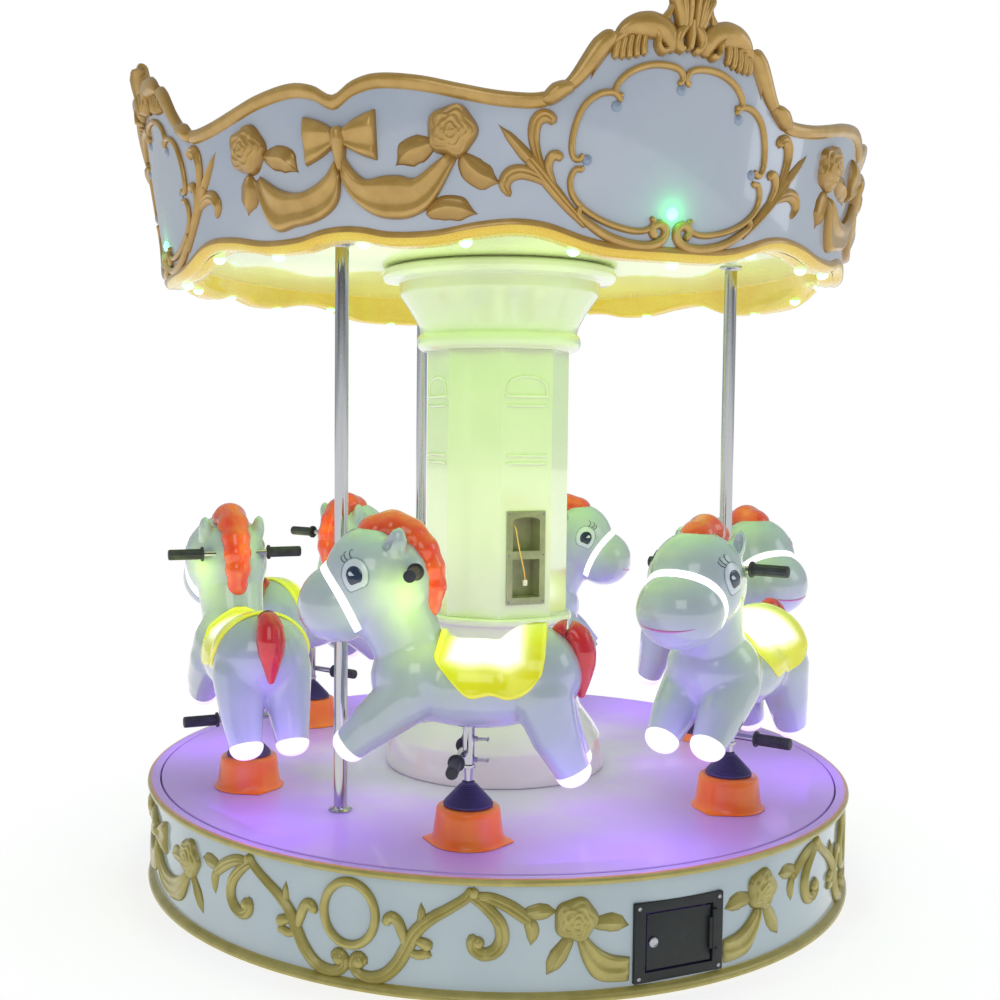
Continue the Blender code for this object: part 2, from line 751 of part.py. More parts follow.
def limb(points):
    """A chain of tapering round lengths through (x, y, z, radius) points."""
    builds = []
    for start, end in zip(points, points[1:]):
        low, high = Vector(start[:3]), Vector(end[:3])
        build = bmesh.new()
        bmesh.ops.create_cone(
            build, cap_ends=True, segments=20, radius1=start[3], radius2=end[3],
            depth=(high - low).length,
        )
        facing = (high - low).to_track_quat("Z", "Y").to_matrix().to_4x4()
        place = Matrix.Translation((low + high) / 2) @ facing
        bmesh.ops.transform(build, matrix=place, verts=build.verts)
        builds.append(build)
        builds.append(ball(high, (end[3],) * 3))
    builds.append(ball(points[0][:3], (points[0][3],) * 3))
    return builds


def pony_forms():
    """The rounded forms that make up one pony, in its own frame."""
    forms = [
        # barrel, chest and rump
        ball((-0.010, 0.0, 0.720), (0.235, 0.128, 0.112)),
        ball((0.142, 0.0, 0.735), (0.124, 0.130, 0.122)),
        ball((-0.165, 0.0, 0.755), (0.118, 0.138, 0.122)),
        # skull, cheeks and muzzle
        ball((0.262, 0.0, 0.990), (0.128, 0.128, 0.138)),
        ball((0.215, 0.0, 0.980), (0.113, 0.116, 0.130)),
        ball((0.350, 0.0, 0.923), (0.112, 0.118, 0.104), 25.0),
    ]
    forms += limb(((0.225, 0.0, 0.950, 0.105), (0.160, 0.0, 0.800, 0.092)))
    for side in (-1.0, 1.0):
        # ears
        forms.append(ball((0.188, side * 0.084, 1.085), (0.028, 0.020, 0.046), -12.0))
        # legs at a gallop, the front pair forwards and the rear pair backwards
        forms += limb((
            (0.150, side * 0.064, 0.700, 0.074),
            (0.246, side * 0.066, 0.624, 0.061),
            (0.300, side * 0.066, 0.574, 0.048),
        ))
        forms += limb((
            (-0.180, side * 0.064, 0.710, 0.080),
            (-0.214, side * 0.068, 0.612, 0.063),
            (-0.256, side * 0.066, 0.530, 0.048),
        ))
    # forelock and mane along the back of the neck, then the tail
    forms += limb((
        (0.280, 0.0, 1.112, 0.022), (0.232, 0.0, 1.132, 0.030), (0.165, 0.0, 1.104, 0.032),
        (0.108, 0.0, 1.040, 0.034), (0.100, 0.0, 0.960, 0.030), (0.106, 0.0, 0.900, 0.022),
    ))
    forms += limb((
        (-0.236, 0.0, 0.858, 0.024), (-0.276, 0.0, 0.832, 0.036), (-0.286, 0.0, 0.780, 0.036),
        (-0.284, 0.0, 0.722, 0.020),
    ))
    return forms


def make_pony_mesh(material):
    """One closed moulding: the forms fused, thinned out, then bored for bar and sleeve."""
    build = bmesh.new()
    for form in pony_forms():
        piece = bpy.data.meshes.new("form")
        form.to_mesh(piece)
        form.free()
        build.from_mesh(piece)
        bpy.data.meshes.remove(piece)
    pony = new_object("pony_pattern", build, material)
    remesh = pony.modifiers.new("fuse", "REMESH")
    remesh.mode = "VOXEL"
    remesh.voxel_size = PONY_VOXEL
    relax = pony.modifiers.new("relax", "SMOOTH")
    relax.factor = 0.5
    relax.iterations = 4
    thin = pony.modifiers.new("thin", "DECIMATE")
    thin.ratio = PONY_KEEP
    bake(pony)
    bar = rod(
        (HANDLE_FORWARD, -0.3, HANDLE_HEIGHT), (HANDLE_FORWARD, 0.3, HANDLE_HEIGHT),
        BAR_RADIUS + SOCKET_GAP,
    )
    sleeve = rod((0.0, 0.0, 0.5), (0.0, 0.0, SLEEVE_TOP + SEAT_GAP),
                 SLEEVE_RADIUS + SOCKET_GAP)
    combine(pony, [bar, sleeve], "DIFFERENCE")
    mesh = pony.data
    mesh.name = "pony"
    mesh.materials.clear()
    mesh.materials.append(material)
    bpy.data.objects.remove(pony, do_unlink=True)
    return mesh


def handlebar_mesh(half, grip_inner):
    """A round bar with a thicker rubber grip on each end, lying along Y."""
    profile = (
        (0.0, half),
        (GRIP_RADIUS, half),
        (GRIP_RADIUS, grip_inner),
        (BAR_RADIUS, grip_inner),
        (BAR_RADIUS, -grip_inner),
        (GRIP_RADIUS, -grip_inner),
        (GRIP_RADIUS, -half),
        (0.0, -half),
    )
    build = spun(profile, 10)
    turn = Matrix.Rotation(math.radians(90.0), 3, "X")
    bmesh.ops.rotate(build, cent=(0, 0, 0), matrix=turn, verts=build.verts)
    return build


def make_stem_mesh(material):
    """Stem with its clamp sleeve, two T-bolts and the foot rest, as one welded piece."""
    profile = (
        (0.0, SLEEVE_TOP),
        (SLEEVE_RADIUS, SLEEVE_TOP),
        (SLEEVE_RADIUS, SLEEVE_FOOT),
        (STEM_RADIUS, SLEEVE_FOOT),
        (STEM_RADIUS, STEM_FOOT),
        (0.0, STEM_FOOT),
    )
    stem = new_object("stem_pattern", spun(profile, 10), material)
    foot_rest = handlebar_mesh(FOOT_REST_HALF, FOOT_GRIP_INNER)
    bmesh.ops.translate(
        foot_rest, vec=(FOOT_REST_FORWARD - 0.002, 0.0, FOOT_REST_HEIGHT), verts=foot_rest.verts,
    )
    parts = [foot_rest]
    for height in BOLT_HEIGHTS:
        parts.append(rod((-0.008, 0.0, height), (-BOLT_REACH, 0.0, height), 0.004, 6))
        parts.append(rod((-BOLT_REACH, -0.014, height), (-BOLT_REACH, 0.014, height), 0.0035, 6))
    combine(stem, parts, "UNION")
    mesh = stem.data
    mesh.name = "stem"
    bpy.data.objects.remove(stem, do_unlink=True)
    return mesh


def make_ponies(finishes):
    """Six ponies, each with its stem and handlebar, hung from an empty on its lift axis."""
    body_mesh = make_pony_mesh(finishes["pony"])
    stem_mesh = make_stem_mesh(finishes["chrome"])
    bar = handlebar_mesh(HANDLE_HALF, HANDLE_GRIP_INNER)
    bmesh.ops.translate(bar, vec=(HANDLE_FORWARD, 0.0, HANDLE_HEIGHT), verts=bar.verts)
    pattern = new_object("bar_pattern", bar, finishes["rubber"])
    bar_mesh = pattern.data
    bpy.data.objects.remove(pattern, do_unlink=True)
    for number in range(PONY_COUNT):
        angle = pony_angle(number)
        lift = bpy.data.objects.new(f"pony_{number + 1}_lift", None)
        lift.location = polar(PONY_RADIUS, angle, -PONY_DROPS[number])
        lift.rotation_euler = (0.0, 0.0, math.radians(180.0 + angle))
        bpy.context.scene.collection.objects.link(lift)
        for part, mesh in (("body", body_mesh), ("stem", stem_mesh), ("handlebar", bar_mesh)):
            obj = bpy.data.objects.new(f"pony_{number + 1}_{part}", mesh)
            obj.parent = lift
            bpy.context.scene.collection.objects.link(obj)


def main():
    """Build the whole carousel."""
    clear_scene()
    finishes = make_finishes()
    make_skirt(finishes)
    make_base_frame(finishes)
    make_service_door(finishes)
    make_deck(finishes)
    make_column(finishes)
    make_control_panel(finishes)
    make_lead(finishes)
    make_canopy(finishes)
    make_poles(finishes)
    make_pony_stands(finishes)
    make_ponies(finishes)


main()
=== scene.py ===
"""Looks of the small fairground carousel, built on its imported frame.

Units are metres and +Z is up, as in the frame. Angles are in degrees round the turning axis from
the front (-Y) towards +X. Relief is drawn on a wall in (u, z): u is metres along the wall at
radius 1.070 and z is the height above the floor.
"""

import json
import logging
import math
from collections.abc import Sequence
from dataclasses import dataclass
from enum import Enum

import bmesh
import bpy
import numpy as np
from bpy.types import ID, Material, Mesh, Node, NodeSocket, NodeTree, Object
from mathutils import Matrix, Vector
from mathutils.bvhtree import BVHTree

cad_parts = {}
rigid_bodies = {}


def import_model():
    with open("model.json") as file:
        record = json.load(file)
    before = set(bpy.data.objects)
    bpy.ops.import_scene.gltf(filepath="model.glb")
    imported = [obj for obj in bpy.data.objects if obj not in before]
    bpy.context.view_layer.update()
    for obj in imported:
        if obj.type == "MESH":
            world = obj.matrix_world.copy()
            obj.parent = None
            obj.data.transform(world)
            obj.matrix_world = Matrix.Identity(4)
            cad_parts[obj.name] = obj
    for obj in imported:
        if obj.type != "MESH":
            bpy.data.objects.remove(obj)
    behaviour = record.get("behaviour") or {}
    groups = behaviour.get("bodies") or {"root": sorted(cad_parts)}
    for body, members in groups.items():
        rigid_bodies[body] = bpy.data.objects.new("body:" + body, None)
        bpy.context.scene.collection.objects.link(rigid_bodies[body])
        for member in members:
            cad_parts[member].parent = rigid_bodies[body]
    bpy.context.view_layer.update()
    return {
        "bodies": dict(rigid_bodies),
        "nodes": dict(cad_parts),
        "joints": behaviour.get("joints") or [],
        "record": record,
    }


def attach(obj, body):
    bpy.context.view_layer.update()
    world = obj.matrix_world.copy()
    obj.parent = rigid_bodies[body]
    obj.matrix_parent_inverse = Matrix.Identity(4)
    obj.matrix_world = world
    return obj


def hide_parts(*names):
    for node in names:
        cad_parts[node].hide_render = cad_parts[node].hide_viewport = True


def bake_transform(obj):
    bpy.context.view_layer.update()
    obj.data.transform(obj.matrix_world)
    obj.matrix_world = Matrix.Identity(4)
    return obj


LOG = logging.getLogger("carousel")
SIDES = ("front", "right", "back", "left")
# Radius at which metres along a wall are measured
ARC_RADIUS = 1.070
# Circle that the ponies stand on, and how far below the first one each hangs
PONY_RADIUS = 0.812
FIRST_PONY = -30.0
PONY_STEP = -60.0
PONY_DROPS = (0.0, 0.026, 0.030, 0.035, 0.035, 0.014)
# Foot of what stands on the deck, and head of what reaches the ceiling
STANDING = 0.3063
HANGING = 1.8797
# How far relief is sunk into its wall, so that its edge never floats
SUNK = 0.0015
# Height of the lit dome in each medallion
LIT_DOME = 1.893
Point = tuple[float, float]


def polar(radius: float, angle: float, height: float) -> Vector:
    """The point at this radius and angle round the turning axis."""
    turn = math.radians(angle)
    return Vector((radius * math.sin(turn), -radius * math.cos(turn), height))


def pony_angle(number: int) -> float:
    """Angle of a pony's stem round the turning axis, numbered from 0."""
    return FIRST_PONY + PONY_STEP * number


def linear(code: str) -> tuple[float, float, float, float]:
    """Linear colour of an sRGB hex code.

    Args:
        code: The colour as #RRGGBB.

    Returns:
        Linear red, green and blue, and an alpha of 1.
    """
    values = [int(code[place:place + 2], 16) / 255 for place in (1, 3, 5)]
    red, green, blue = (
        value / 12.92 if value <= 0.04045 else ((value + 0.055) / 1.055) ** 2.4 for value in values
    )
    return red, green, blue, 1.0


def smooth_route(route: Sequence[Sequence[float]], count: int) -> np.ndarray:
    """Points at even steps of a smooth curve through a route.

    Args:
        route: The points that the curve passes through, in any number of dimensions.
        count: How many points to give back.

    Returns:
        The points, one row each.
    """
    points = np.asarray(route, float)
    padded = np.vstack([2 * points[0] - points[1], points, 2 * points[-1] - points[-2]])
    along = np.arange(count) * (len(points) - 1) / (count - 1)
    index = np.minimum(along.astype(int), len(points) - 2)
    share = (along - index)[:, None]
    before, start, end, after = (padded[index + shift] for shift in range(4))
    return 0.5 * (
        2 * start
        + (end - before) * share
        + (2 * before - 5 * start + 4 * end - after) * share**2
        + (3 * start - before - 3 * end + after) * share**3
    )


def even_route(route: Sequence[Sequence[float]], step: float) -> np.ndarray:
    """Points a fixed distance apart on a smooth curve through a route.

    Args:
        route: The points that the curve passes through.
        step: The wanted distance between neighbours.

    Returns:
        The points, one row each.
    """
    fine = smooth_route(route, 12 * len(route))
    lengths = np.concatenate([[0.0], np.cumsum(np.linalg.norm(np.diff(fine, axis=0), axis=1))])
    count = max(4, round(lengths[-1] / step) + 1)
    wanted = np.linspace(0.0, lengths[-1], count)
    return np.stack([np.interp(wanted, lengths, column) for column in fine.T], axis=1)


def rounded(profile: Sequence[Point], radius: float, steps: int = 4) -> list[Point]:
    """A profile with its inner corners rounded off.

    Args:
        profile: (radius, height) pairs.
        radius: How far each corner is cut back along its two sides, at most.
        steps: Number of spans in each rounded corner.

    Returns:
        The profile with extra points.
    """
    points = [np.asarray(point, float) for point in profile]
    made = [points[0]]
    for before, corner, after in zip(points, points[1:], points[2:]):
        back, ahead = before - corner, after - corner
        start = corner + back * min(0.45, radius / max(np.linalg.norm(back), 1e-9))
        end = corner + ahead * min(0.45, radius / max(np.linalg.norm(ahead), 1e-9))
        for step in range(steps + 1):
            share = step / steps
            made.append((1 - share) ** 2 * start + 2 * share * (1 - share) * corner + share**2 * end)
    made.append(points[-1])
    return [(float(point[0]), float(point[1])) for point in made]


def point_at(route: np.ndarray, share: float) -> np.ndarray:
    """The point at this share of the way along a row of points."""
    spots = np.linspace(0, 1, len(route))
    return np.array([np.interp(share, spots, column) for column in route.T])


def link(name: str, data: ID) -> Object:
    """A new object in the scene.

    Args:
        name: The object's name.
        data: What it holds.

    Returns:
        The new object.
    """
    piece = bpy.data.objects.new(name, data)
    bpy.context.scene.collection.objects.link(piece)
    return piece


def final_mesh(helper: Object) -> Mesh:
    """The mesh that a helper object ends up with. The helper is removed.

    Args:
        helper: The object, with its modifiers.

    Returns:
        The new mesh.
    """
    graph = bpy.context.evaluated_depsgraph_get()
    mesh = bpy.data.meshes.new_from_object(helper.evaluated_get(graph))
    bpy.data.objects.remove(helper, do_unlink=True)
    return mesh


def shade(mesh: Mesh, sharp: float) -> Mesh:
    """The same mesh shaded smooth, with crisp edges above an angle in degrees.

    Args:
        mesh: The mesh to shade.
        sharp: Angle above which an edge stays crisp.

    Returns:
        The mesh.
    """
    mesh.shade_smooth()
    mesh.set_sharp_from_angle(angle=math.radians(sharp))
    return mesh


def feed(
    tree: NodeTree, node: Node, inputs: dict[str | int, object],
) -> None:
    """Set or link a node's inputs.

    Args:
        tree: The node tree that it is in.
        node: The node.
        inputs: A value, or a socket to link from, for each named or numbered input.
    """
    for key, value in inputs.items():
        if isinstance(value, NodeSocket):
            tree.links.new(value, node.inputs[key])
        else:
            node.inputs[key].default_value = value


def add_node(
    tree: NodeTree,
    kind: str,
    inputs: dict[str | int, object] | None = None,
    **settings: object,
) -> Node:
    """Add one node with its settings, values and links.

    Args:
        tree: The node tree to add to.
        kind: The node's type.
        inputs: A value, or a socket to link from, for each named or numbered input.
        **settings: Properties of the node.

    Returns:
        The new node.
    """
    node = tree.nodes.new(kind)
    for key, value in settings.items():
        setattr(node, key, value)
    feed(tree, node, inputs or {})
    return node


def blank(name: str) -> tuple[Material, NodeTree, Node]:
    """A new material, its node tree and its shader.

    Args:
        name: The material's name.

    Returns:
        The material, its tree and its shader.
    """
    material = bpy.data.materials.new(name)
    material.use_nodes = True
    tree = material.node_tree
    return material, tree, tree.nodes["Principled BSDF"]


def noise(
    tree: NodeTree,
    place: NodeSocket,
    scale: float,
    detail: float = 2.0,
    roughness: float = 0.5,
) -> NodeSocket:
    """Add soft noise.

    Args:
        tree: The node tree to add to.
        place: Coordinates.
        scale: Number of lumps in a metre.
        detail: Rounds of finer noise.
        roughness: Weight of the finer rounds.

    Returns:
        The socket that gives the noise.
    """
    return add_node(
        tree, "ShaderNodeTexNoise",
        {"Vector": place, "Scale": scale, "Detail": detail, "Roughness": roughness},
    ).outputs["Fac"]


def ranged(
    tree: NodeTree,
    value: NodeSocket,
    start: float,
    end: float,
    low: float = 0.0,
    high: float = 1.0,
    soft: bool = False,
) -> NodeSocket:
    """Carry a value from one range over to another.

    Args:
        tree: The node tree to add to.
        value: The socket that gives the value.
        start: The value that gives `low`.
        end: The value that gives `high`.
        low: What comes out at the start.
        high: What comes out at the end.
        soft: Whether it eases in and out.

    Returns:
        The socket that gives the result.
    """
    return add_node(
        tree, "ShaderNodeMapRange",
        {"Value": value, "From Min": start, "From Max": end, "To Min": low, "To Max": high},
        interpolation_type="SMOOTHSTEP" if soft else "LINEAR",
    ).outputs["Result"]


def mix(
    tree: NodeTree,
    share: NodeSocket,
    first: str | NodeSocket,
    second: str | NodeSocket,
) -> NodeSocket:
    """Blend two colours.

    Args:
        tree: The node tree to add to.
        share: How much of the second colour there is.
        first: A hex code, or the socket that gives the colour.
        second: The same for the second colour.

    Returns:
        The socket that gives the blend.
    """
    colours = [linear(tone) if isinstance(tone, str) else tone for tone in (first, second)]
    return add_node(
        tree, "ShaderNodeMix", {0: share, 6: colours[0], 7: colours[1]}, data_type="RGBA",
    ).outputs[2]


@dataclass(frozen=True)
class Finish:
    """An opaque finish with patches of a second tone and a fine surface grain."""

    name: str
    colour: str
    shade: str
    roughness: float
    metallic: float = 0.0
    coat: float = 0.0
    patch: float = 0.40
    grain: float = 0.003
    bump: float = 0.00004
    wave: float = 0.0
    streak: float = 1.0
    # Painted shade: colour laid into the hollows of relief, by the relief height share
    relief: str = ""
    # Painted light: a paler tone round the turning axis
    middle: str = ""

    def pale_middle(
        self, tree: NodeTree, tone: NodeSocket, cloud: NodeSocket,
    ) -> NodeSocket:
        """Blend in the paler tone round the turning axis, a painted pool of light.

        Args:
            tree: The material's node tree.
            tone: The colour further out.
            cloud: Noise that loosens the border.

        Returns:
            The socket that gives the colour.
        """
        where = add_node(tree, "ShaderNodeTexCoord").outputs["Object"]
        flat = add_node(
            tree, "ShaderNodeVectorMath", {0: where, 1: (1.0, 1.0, 0.0)}, operation="MULTIPLY",
        )
        far = add_node(tree, "ShaderNodeVectorMath", {0: flat.outputs["Vector"]}, operation="LENGTH")
        loose = add_node(
            tree, "ShaderNodeMath", {0: cloud, 1: 1.3, 2: far.outputs["Value"]},
            operation="MULTIPLY_ADD",
        )
        share = ranged(tree, loose.outputs["Value"], 0.95, 1.40, soft=True)
        return mix(tree, share, self.middle, tone)

    def tone(self, tree: NodeTree, place: NodeSocket) -> NodeSocket:
        """The colour of the finish over the surface.

        Args:
            tree: The material's node tree.
            place: Object coordinates, stretched along Z for a drawn or brushed finish.

        Returns:
            The socket that gives the colour.
        """
        patches = noise(tree, place, 1 / self.patch, 4.0, 0.55)
        mixed = mix(tree, ranged(tree, patches, 0.35, 0.65), self.colour, self.shade)
        if self.middle:
            return self.pale_middle(tree, mixed, patches)
        if not self.relief:
            return mixed
        # Painted shade: hollows of relief take the darker hollow colour
        height = add_node(tree, "ShaderNodeAttribute", attribute_name="relief").outputs["Fac"]
        return mix(tree, ranged(tree, height, 0.05, 0.75), self.relief, mixed)

    def make(self) -> Material:
        """Build the material.

        Returns:
            The new material.
        """
        material, tree, shader = blank(self.name)
        where = add_node(tree, "ShaderNodeTexCoord").outputs["Object"]
        place = add_node(
            tree, "ShaderNodeMapping", {"Vector": where, "Scale": (1.0, 1.0, 1 / self.streak)},
        ).outputs["Vector"]
        grain = noise(tree, place, 1 / self.grain)
        bump = add_node(tree, "ShaderNodeBump", {"Height": grain, "Distance": self.bump})
        if self.wave:
            bump = add_node(
                tree, "ShaderNodeBump",
                {
                    "Height": noise(tree, where, 9.0),
                    "Distance": self.wave,
                    "Normal": bump.outputs["Normal"],
                },
            )
        feed(tree, shader, {
            "Base Color": self.tone(tree, place),
            "Roughness": ranged(tree, grain, 0.0, 1.0, self.roughness * 0.8, self.roughness * 1.25),
            "Normal": bump.outputs["Normal"],
            "Metallic": self.metallic,
            "Coat Weight": self.coat,
            "Coat Roughness": 0.04,
        })
        return material


@dataclass(frozen=True)
class Glow:
    """A translucent finish that is lit from inside."""

    name: str
    colour: str
    light: str
    strength: float
    roughness: float = 0.25

    def make(self) -> Material:
        """Build the material.

        Returns:
            The new material.
        """
        material, tree, shader = blank(self.name)
        where = add_node(tree, "ShaderNodeTexCoord").outputs["Object"]
        feed(tree, shader, {
            "Base Color": mix(tree, noise(tree, where, 60.0), self.colour, self.light),
            "Emission Color": linear(self.light),
            "Emission Strength": self.strength,
            "Roughness": self.roughness,
            "Coat Weight": 0.6,
        })
        return material


@dataclass(frozen=True)
class SeatEnamel:
    """Yellow saddle enamel whose seat is a milky panel lit from inside."""

    name: str = "yellow enamel with a lit opal seat"
    enamel: str = "#E6E21E"
    deep: str = "#CFD21A"
    edge: str = "#F4F45A"
    lamp: str = "#FFFDF6"

    def make(self) -> Material:
        """Build the material.

        Returns:
            The new material.
        """
        material, tree, shader = blank(self.name)
        where = add_node(tree, "ShaderNodeTexCoord").outputs["Object"]
        paint = mix(tree, noise(tree, where, 16.0), self.enamel, self.deep)
        border, lit = (
            add_node(tree, "ShaderNodeAttribute", attribute_name=name).outputs["Fac"]
            for name in ("relief", "lit")
        )
        whole = mix(tree, lit, mix(tree, border, paint, self.edge), self.lamp)
        feed(tree, shader, {
            "Base Color": whole,
            "Emission Color": whole,
            "Emission Strength": ranged(tree, lit, 0.0, 1.0, 0.24, 0.80),
            "Roughness": 0.22,
            "Coat Weight": 0.8,
        })
        return material


class Paint(Enum):
    """Every finish on the carousel."""

    # Polyester gelcoat sprayed into a polished mould: mirror gloss over a slight long swell
    SKIRT = Finish("pale blue gelcoat", "#BCCBD2", "#B2C4CD", 0.20, coat=0.9, wave=0.0008)
    CROWN = Finish("pearl gelcoat", "#B9C2CE", "#AEB9C8", 0.16, coat=1.0, wave=0.0010)
    PONY = Finish("white gelcoat", "#BCC9CF", "#B0BFC7", 0.16, coat=1.0, patch=0.20, wave=0.0003)
    COLUMN = Finish("ivory gelcoat", "#E2E8CA", "#DAE2C2", 0.20, coat=1.0, wave=0.0006)
    CEILING = Finish("cream gelcoat", "#DCE6AC", "#D4E2A0", 0.25, coat=0.8, wave=0.0006)
    # Gelcoat floor in broad soft patches: lilac partly its own colour and partly painted purple light,
    # with a paler painted pool of light round the column
    DECK = Finish("lilac gelcoat with painted light", "#D2B2F4", "#CBA8EE", 0.36, coat=0.25, patch=0.5,
                  wave=0.0005, middle="#CFC9D8")
    # Bronze-powder lacquer brushed over the carving; its hollows are brown as painted shade, its crests
    # keep their own colour
    GOLD = Finish("bronze powder lacquer", "#C8A258", "#B8934A", 0.30, metallic=0.30, coat=0.55,
                  patch=0.05, grain=0.0015, bump=0.00010, relief="#9A7436")
    # Old gold lacquer, with painted shade: a browner colour in the hollows of the carving
    OLIVE = Finish("old gold lacquer", "#C0B468", "#B0A45A", 0.34, metallic=0.25, coat=0.40,
                   patch=0.05, grain=0.0015, bump=0.00010, relief="#948A4A")
    # Yellow gold lacquer, with a painted shade colour for hollows
    RIM = Finish("yellow gold lacquer", "#F0D24A", "#ECC43E", 0.26, metallic=0.10, coat=0.7,
                 patch=0.12, relief="#D8AE38")
    # Painted highlight: a thin warm pink line where light catches the rim's top edge
    LIP_HIGHLIGHT = Finish("pink painted highlight lacquer", "#EBA074", "#E0926A", 0.28, metallic=0.15, coat=0.6, patch=0.08)
    # Welded stainless tube, polished along its length: long thin streaks in a mirror
    STEEL = Finish("polished stainless steel", "#C9CACC", "#BDBEC4", 0.10, metallic=1.0,
                   patch=0.02, grain=0.0012, bump=0.00001, streak=60.0)
    # Zinc plate, bright chromate: soft shine with faint cloudy patches
    ZINC = Finish("bright zinc plate", "#C4C6CC", "#AEB2BC", 0.26, metallic=1.0, patch=0.01)
    # Sheet steel in a sanded clear lacquer: fine grain and a dull sheen
    PLATE = Finish("sanded sheet steel", "#B2B48E", "#A2A582", 0.34, metallic=0.5, patch=0.03,
                   grain=0.0006, bump=0.00002)
    # Painted shade: near black inside the panel's recess and the door lock's slit
    SHADOW = Finish("black painted shade", "#10140C", "#0B0E08", 0.45, patch=0.03)
    # Powder coat baked on sheet steel: a fine even pebble that scatters the light
    POWDER = Finish("black powder coat", "#262B2B", "#1D2222", 0.50, patch=0.06, grain=0.0012,
                    bump=0.00010)
    PRIMER = Finish("grey primer", "#6C6D70", "#5C5D60", 0.55, patch=0.10)
    # Carbon-filled rubber: nearly black, dull, with a greyish bloom on it
    RUBBER = Finish("black rubber", "#2A2A33", "#3A3A46", 0.55, patch=0.02, grain=0.001,
                    bump=0.00005)
    BELLOWS = Finish("violet black rubber", "#443B66", "#4C4276", 0.50, patch=0.04, grain=0.001,
                     bump=0.00005)
    # Rotation-moulded polyethylene: waxy, strong colour with a soft shine
    POT = Finish("orange polyethylene", "#FF8824", "#FF7628", 0.30, coat=0.4, patch=0.08)
    # Two-pack enamel brushed on the gelcoat: full gloss, with thin and thick places
    MANE = Finish("orange red enamel", "#F2452C", "#F4652E", 0.22, coat=0.9, patch=0.05,
                  wave=0.0006)
    TAIL = Finish("crimson enamel", "#E0362E", "#CE2A3C", 0.22, coat=0.8, patch=0.06)
    EYE_WHITE = Finish("pale enamel", "#D8E2EA", "#CFDCE6", 0.20, coat=1.0)
    EYE_BLUE = Finish("navy enamel", "#2F3F58", "#22304A", 0.18, coat=1.0, patch=0.03)
    LINE = Finish("grey blue line enamel", "#8FA2AC", "#8094A0", 0.30, coat=0.5)
    LASH = Finish("dark green line enamel", "#35504A", "#2C463E", 0.30, coat=0.5)
    MOUTH = Finish("pink line enamel", "#D678C0", "#C868B8", 0.30, coat=0.5)
    # Soft PVC sheath: satin and slightly uneven
    LEAD = Finish("yellow PVC", "#F2C96A", "#EE9A4A", 0.42, patch=0.05)
    NYLON = Finish("white nylon", "#EDE6D2", "#E2DAC4", 0.40, patch=0.01)
    UNLIT = Finish("grey opal dome", "#8E9EB4", "#8494AC", 0.22, coat=0.8, patch=0.01)
    # Opal polycarbonate over light diodes: flat white, no modelling of its own
    LAMP = Glow("lit opal dome", "#DCFFEE", "#A4FFCC", 1.30)
    GREEN = Glow("lit green dome", "#B0FFC8", "#70FFA0", 2.6)
    BAND = Glow("lit silicone strip", "#F6F4FF", "#F6F3FF", 1.1)
    HOOF = Glow("lit opal hoof", "#F4ECF6", "#FBF2FA", 0.62)
    SADDLE = SeatEnamel()


class Palette:
    """Makes each finish's material once and gives it out."""

    def __init__(self) -> None:
        """Start with no materials made."""
        self._made: dict[Paint, Material] = {}

    def __getitem__(self, paint: Paint) -> Material:
        """The material of a finish, made the first time it is asked for.

        Args:
            paint: The finish.

        Returns:
            Its material.
        """
        if paint not in self._made:
            self._made[paint] = paint.value.make()
        return self._made[paint]


PALETTE = Palette()


